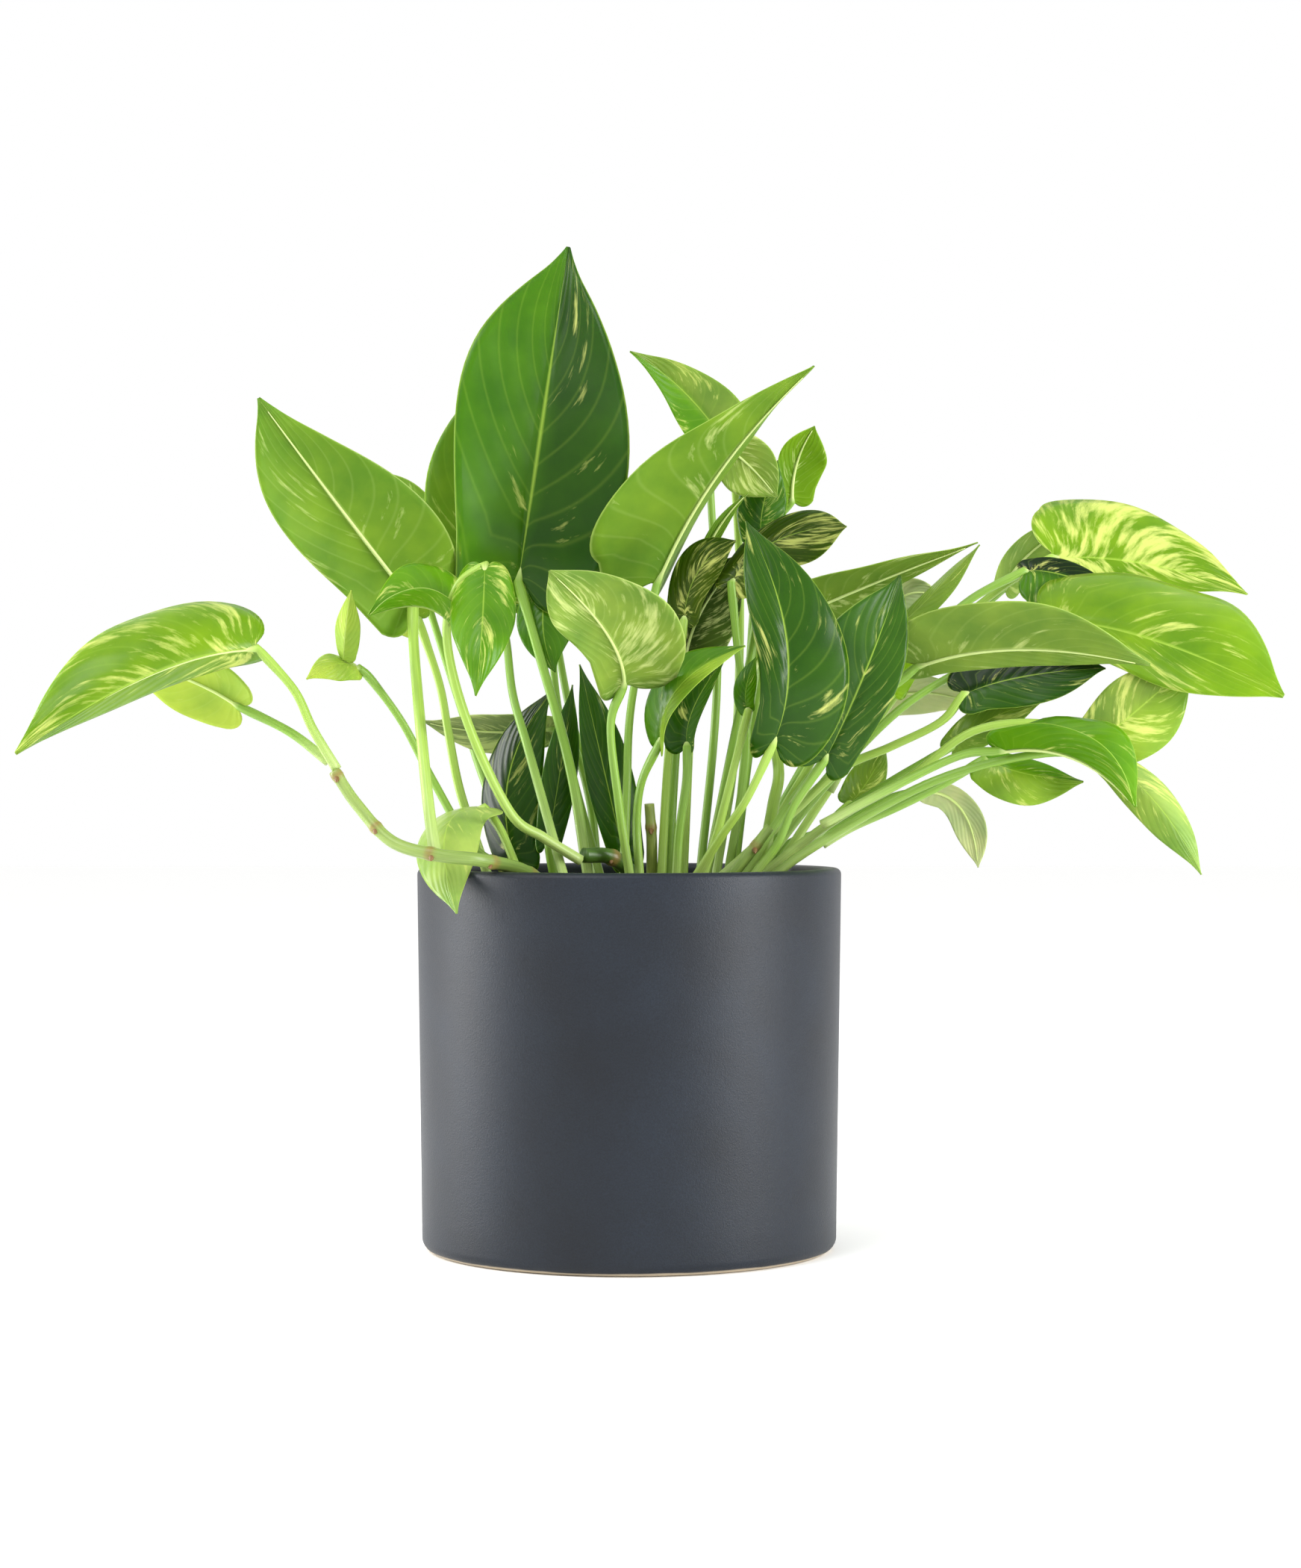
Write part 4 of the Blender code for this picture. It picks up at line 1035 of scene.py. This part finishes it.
# %% Soil material
def soil_finish():
    """Dull crumbly peat: grit about 1.4 mm across in shade and relief, over the tint."""
    made, tree, shader = finish("potting_soil_crumbly_peat", Roughness=0.95, IOR=1.4)
    tint = add(tree, "Attribute", dict(attribute_name="tint"))
    place = add(tree, "TexCoord")
    grit = add(tree, "TexNoise", Vector=(place, 3), Scale=700.0, Detail=5.0, Roughness=0.7)
    stops = [(0.32, (0.45, 0.42, 0.40, 1)), (0.68, (1.4, 1.35, 1.3, 1))]
    shade = add(tree, "ValToRGB", dict(stops=stops), Fac=grit)
    mixed = add(tree, "Mix", SHADE_BY, Factor=1.0, i6=tint, i7=shade)
    tree.links.new(mixed.outputs[2], shader.inputs["Base Color"])
    bump = add(tree, "Bump", Height=grit, Strength=0.9, Distance=0.0012)
    tree.links.new(bump.outputs[0], shader.inputs["Normal"])
    return made


soil_skin = soil_finish()
print("soil material:", soil_skin.name)

# %% Soil surface
SOIL_EDGE, SOIL_CROWN, SOIL_RADIUS, SOIL_SKIRT = 134.0, 1.5, 76.7, 12
SOIL_RINGS, SOIL_SPOKES = 34, 110
LUMP_SPACING, LUMP_HEIGHT = 9, 1.1
LOWEST_LUMP, HIGHEST_LUMP = -1.5, 1.6


def soil_height(x, y):
    """The height of the soil's surface over a place in the pot, in millimetres."""
    lumps = noise.fractal(Vector((x / LUMP_SPACING, y / LUMP_SPACING, 3.0)), 0.9, 2.0, 4)
    dome = SOIL_CROWN * (1 - math.hypot(x, y) / SOIL_RADIUS)
    return SOIL_EDGE + dome + min(max(LUMP_HEIGHT * lumps, LOWEST_LUMP), HIGHEST_LUMP)


def soil_shape():
    """The lumpy top of the soil in rings, with a skirt that runs down inside the pot."""
    rings = []
    for radius in np.linspace(0.4, SOIL_RADIUS, SOIL_RINGS):
        turns = np.linspace(0, 2 * math.pi, SOIL_SPOKES + 1)
        flat = [(radius * math.cos(turn), radius * math.sin(turn)) for turn in turns]
        rings.append([(x, y, soil_height(x, y)) for x, y in flat])
    places = np.array(rings)
    skirt = places[-1:].copy()
    skirt[..., 2] = SOIL_EDGE - SOIL_SKIRT
    places = np.concatenate([places, skirt])
    places[:, -1] = places[:, 0]
    tints = np.tile(np.array([*linear("#3a2c22"), 0.0]), (*places.shape[:2], 1))
    return wrap(new_grid(SOIL_SPOKES, SOIL_RINGS), places, tints)


print("the soil at the middle stands at", round(soil_height(0, 0), 1), "mm")

# %% Loose crumbs
CRUMBS = 420
CRUMB_REACH = 73
CRUMB_KINDS = ["#2d221a", "#4a3626", "#5c4129", "#6b5138", "#3a2a1e", "#d9d5ca"]


def crumb(pick, kinds):
    """One loose crumb: a bent twenty-sided lump, flattened and turned at random."""
    shape = bmesh.new()
    shape.loops.layers.uv.new("skin")
    tint = shape.verts.layers.float_color.new("tint")
    shape.verts.layers.float.new("seed")
    size = pick.uniform(0.9, 2.4)
    bmesh.ops.create_icosphere(shape, subdivisions=1, radius=size * MM)
    squash = Matrix.Diagonal((pick.uniform(0.8, 1.9), pick.uniform(0.7, 1.2), pick.uniform(0.5, 0.9), 1))
    spin = Matrix.Rotation(pick.uniform(0, 6.28), 4, "Z") @ Matrix.Rotation(pick.uniform(-0.5, 0.5), 4, "X")
    reach, turn = CRUMB_REACH * math.sqrt(pick.random()), pick.uniform(0, 6.28)
    x, y = reach * math.cos(turn), reach * math.sin(turn)
    there = Matrix.Translation(Vector((x, y, soil_height(x, y) + 0.2 * size)) * MM)
    shade = (*linear(pick.choice(kinds)), 0.0)
    for corner in shape.verts:
        corner.co *= pick.uniform(0.8, 1.2)
        corner[tint] = shade
    bmesh.ops.transform(shape, matrix=there @ spin @ squash, verts=shape.verts)
    return shape


pick = random.Random(7)
crumbs = [crumb(pick, CRUMB_KINDS) for _ in range(CRUMBS)]
soil = placed("soil_crumbly", [soil_shape()] + crumbs, [soil_skin])
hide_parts("soil")
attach(soil, "root")
print("soil with", CRUMBS, "crumbs")

# %% [markdown]
# ## Floor and light
# The plant stands on a plain pale floor in soft studio light: a white surround, a large soft light above
# and to the left, and two tall ones that draw the upright highlights on the pot.

# %% Stage
FLOOR_REACH = 6.0
PLANT_MIDDLE, POT_MIDDLE = (0, 0, 0.25), (0, 0, 0.12)


def soft_light(name, place, aim, width, height, power):
    """A rectangular area light, in metres and watts, turned towards the point that it aims at."""
    made = bpy.data.lights.new(name, "AREA")
    made.shape = "RECTANGLE"
    made.size, made.size_y, made.energy = width, height, power
    lamp = bpy.data.objects.new(name, made)
    lamp.location = place
    lamp.rotation_euler = (Vector(aim) - Vector(place)).to_track_quat("-Z", "Y").to_euler()
    bpy.context.scene.collection.objects.link(lamp)


floor_shape = bmesh.new()
bmesh.ops.create_grid(floor_shape, x_segments=1, y_segments=1, size=FLOOR_REACH)
floor_skin, _, _ = finish("floor_plain_pale", Base_Color=colour("#fefefd"), Roughness=0.9)
floor = placed("floor", [floor_shape], [floor_skin])
world = bpy.data.worlds.new("studio")
bpy.context.scene.world = world
world.use_nodes = True
surround = world.node_tree.nodes["Background"]
surround.inputs["Color"].default_value = (1, 1, 1, 1)
surround.inputs["Strength"].default_value = 1.0
soft_light("key", (-0.7, -0.9, 1.5), PLANT_MIDDLE, width=0.8, height=0.8, power=12)
soft_light("left_strip", (-1.06, 0.10, 0.35), POT_MIDDLE, width=0.22, height=0.9, power=13)
soft_light("right_strip", (0.99, -0.48, 0.35), POT_MIDDLE, width=0.16, height=0.9, power=13)
print("lights:", ", ".join(lamp.name for lamp in bpy.data.lights))

# %% [markdown]
# ## Camera
# The camera stands level, a little above the pot's rim, and its long lens keeps the upright lines of the
# pot almost parallel.

# %% Camera
view = bpy.data.cameras.new("camera")
view.sensor_width = 36.0
view.lens = 74.3
camera = bpy.data.objects.new("camera", view)
camera.location = (0.0085, -1.300, 0.186)
camera.rotation_euler = (math.pi / 2, 0, 0)
bpy.context.scene.collection.objects.link(camera)
bpy.context.scene.camera = camera
bpy.context.scene.view_settings.view_transform = "Standard"
print("camera at", tuple(round(part, 4) for part in camera.location), "with a lens of", view.lens, "mm")
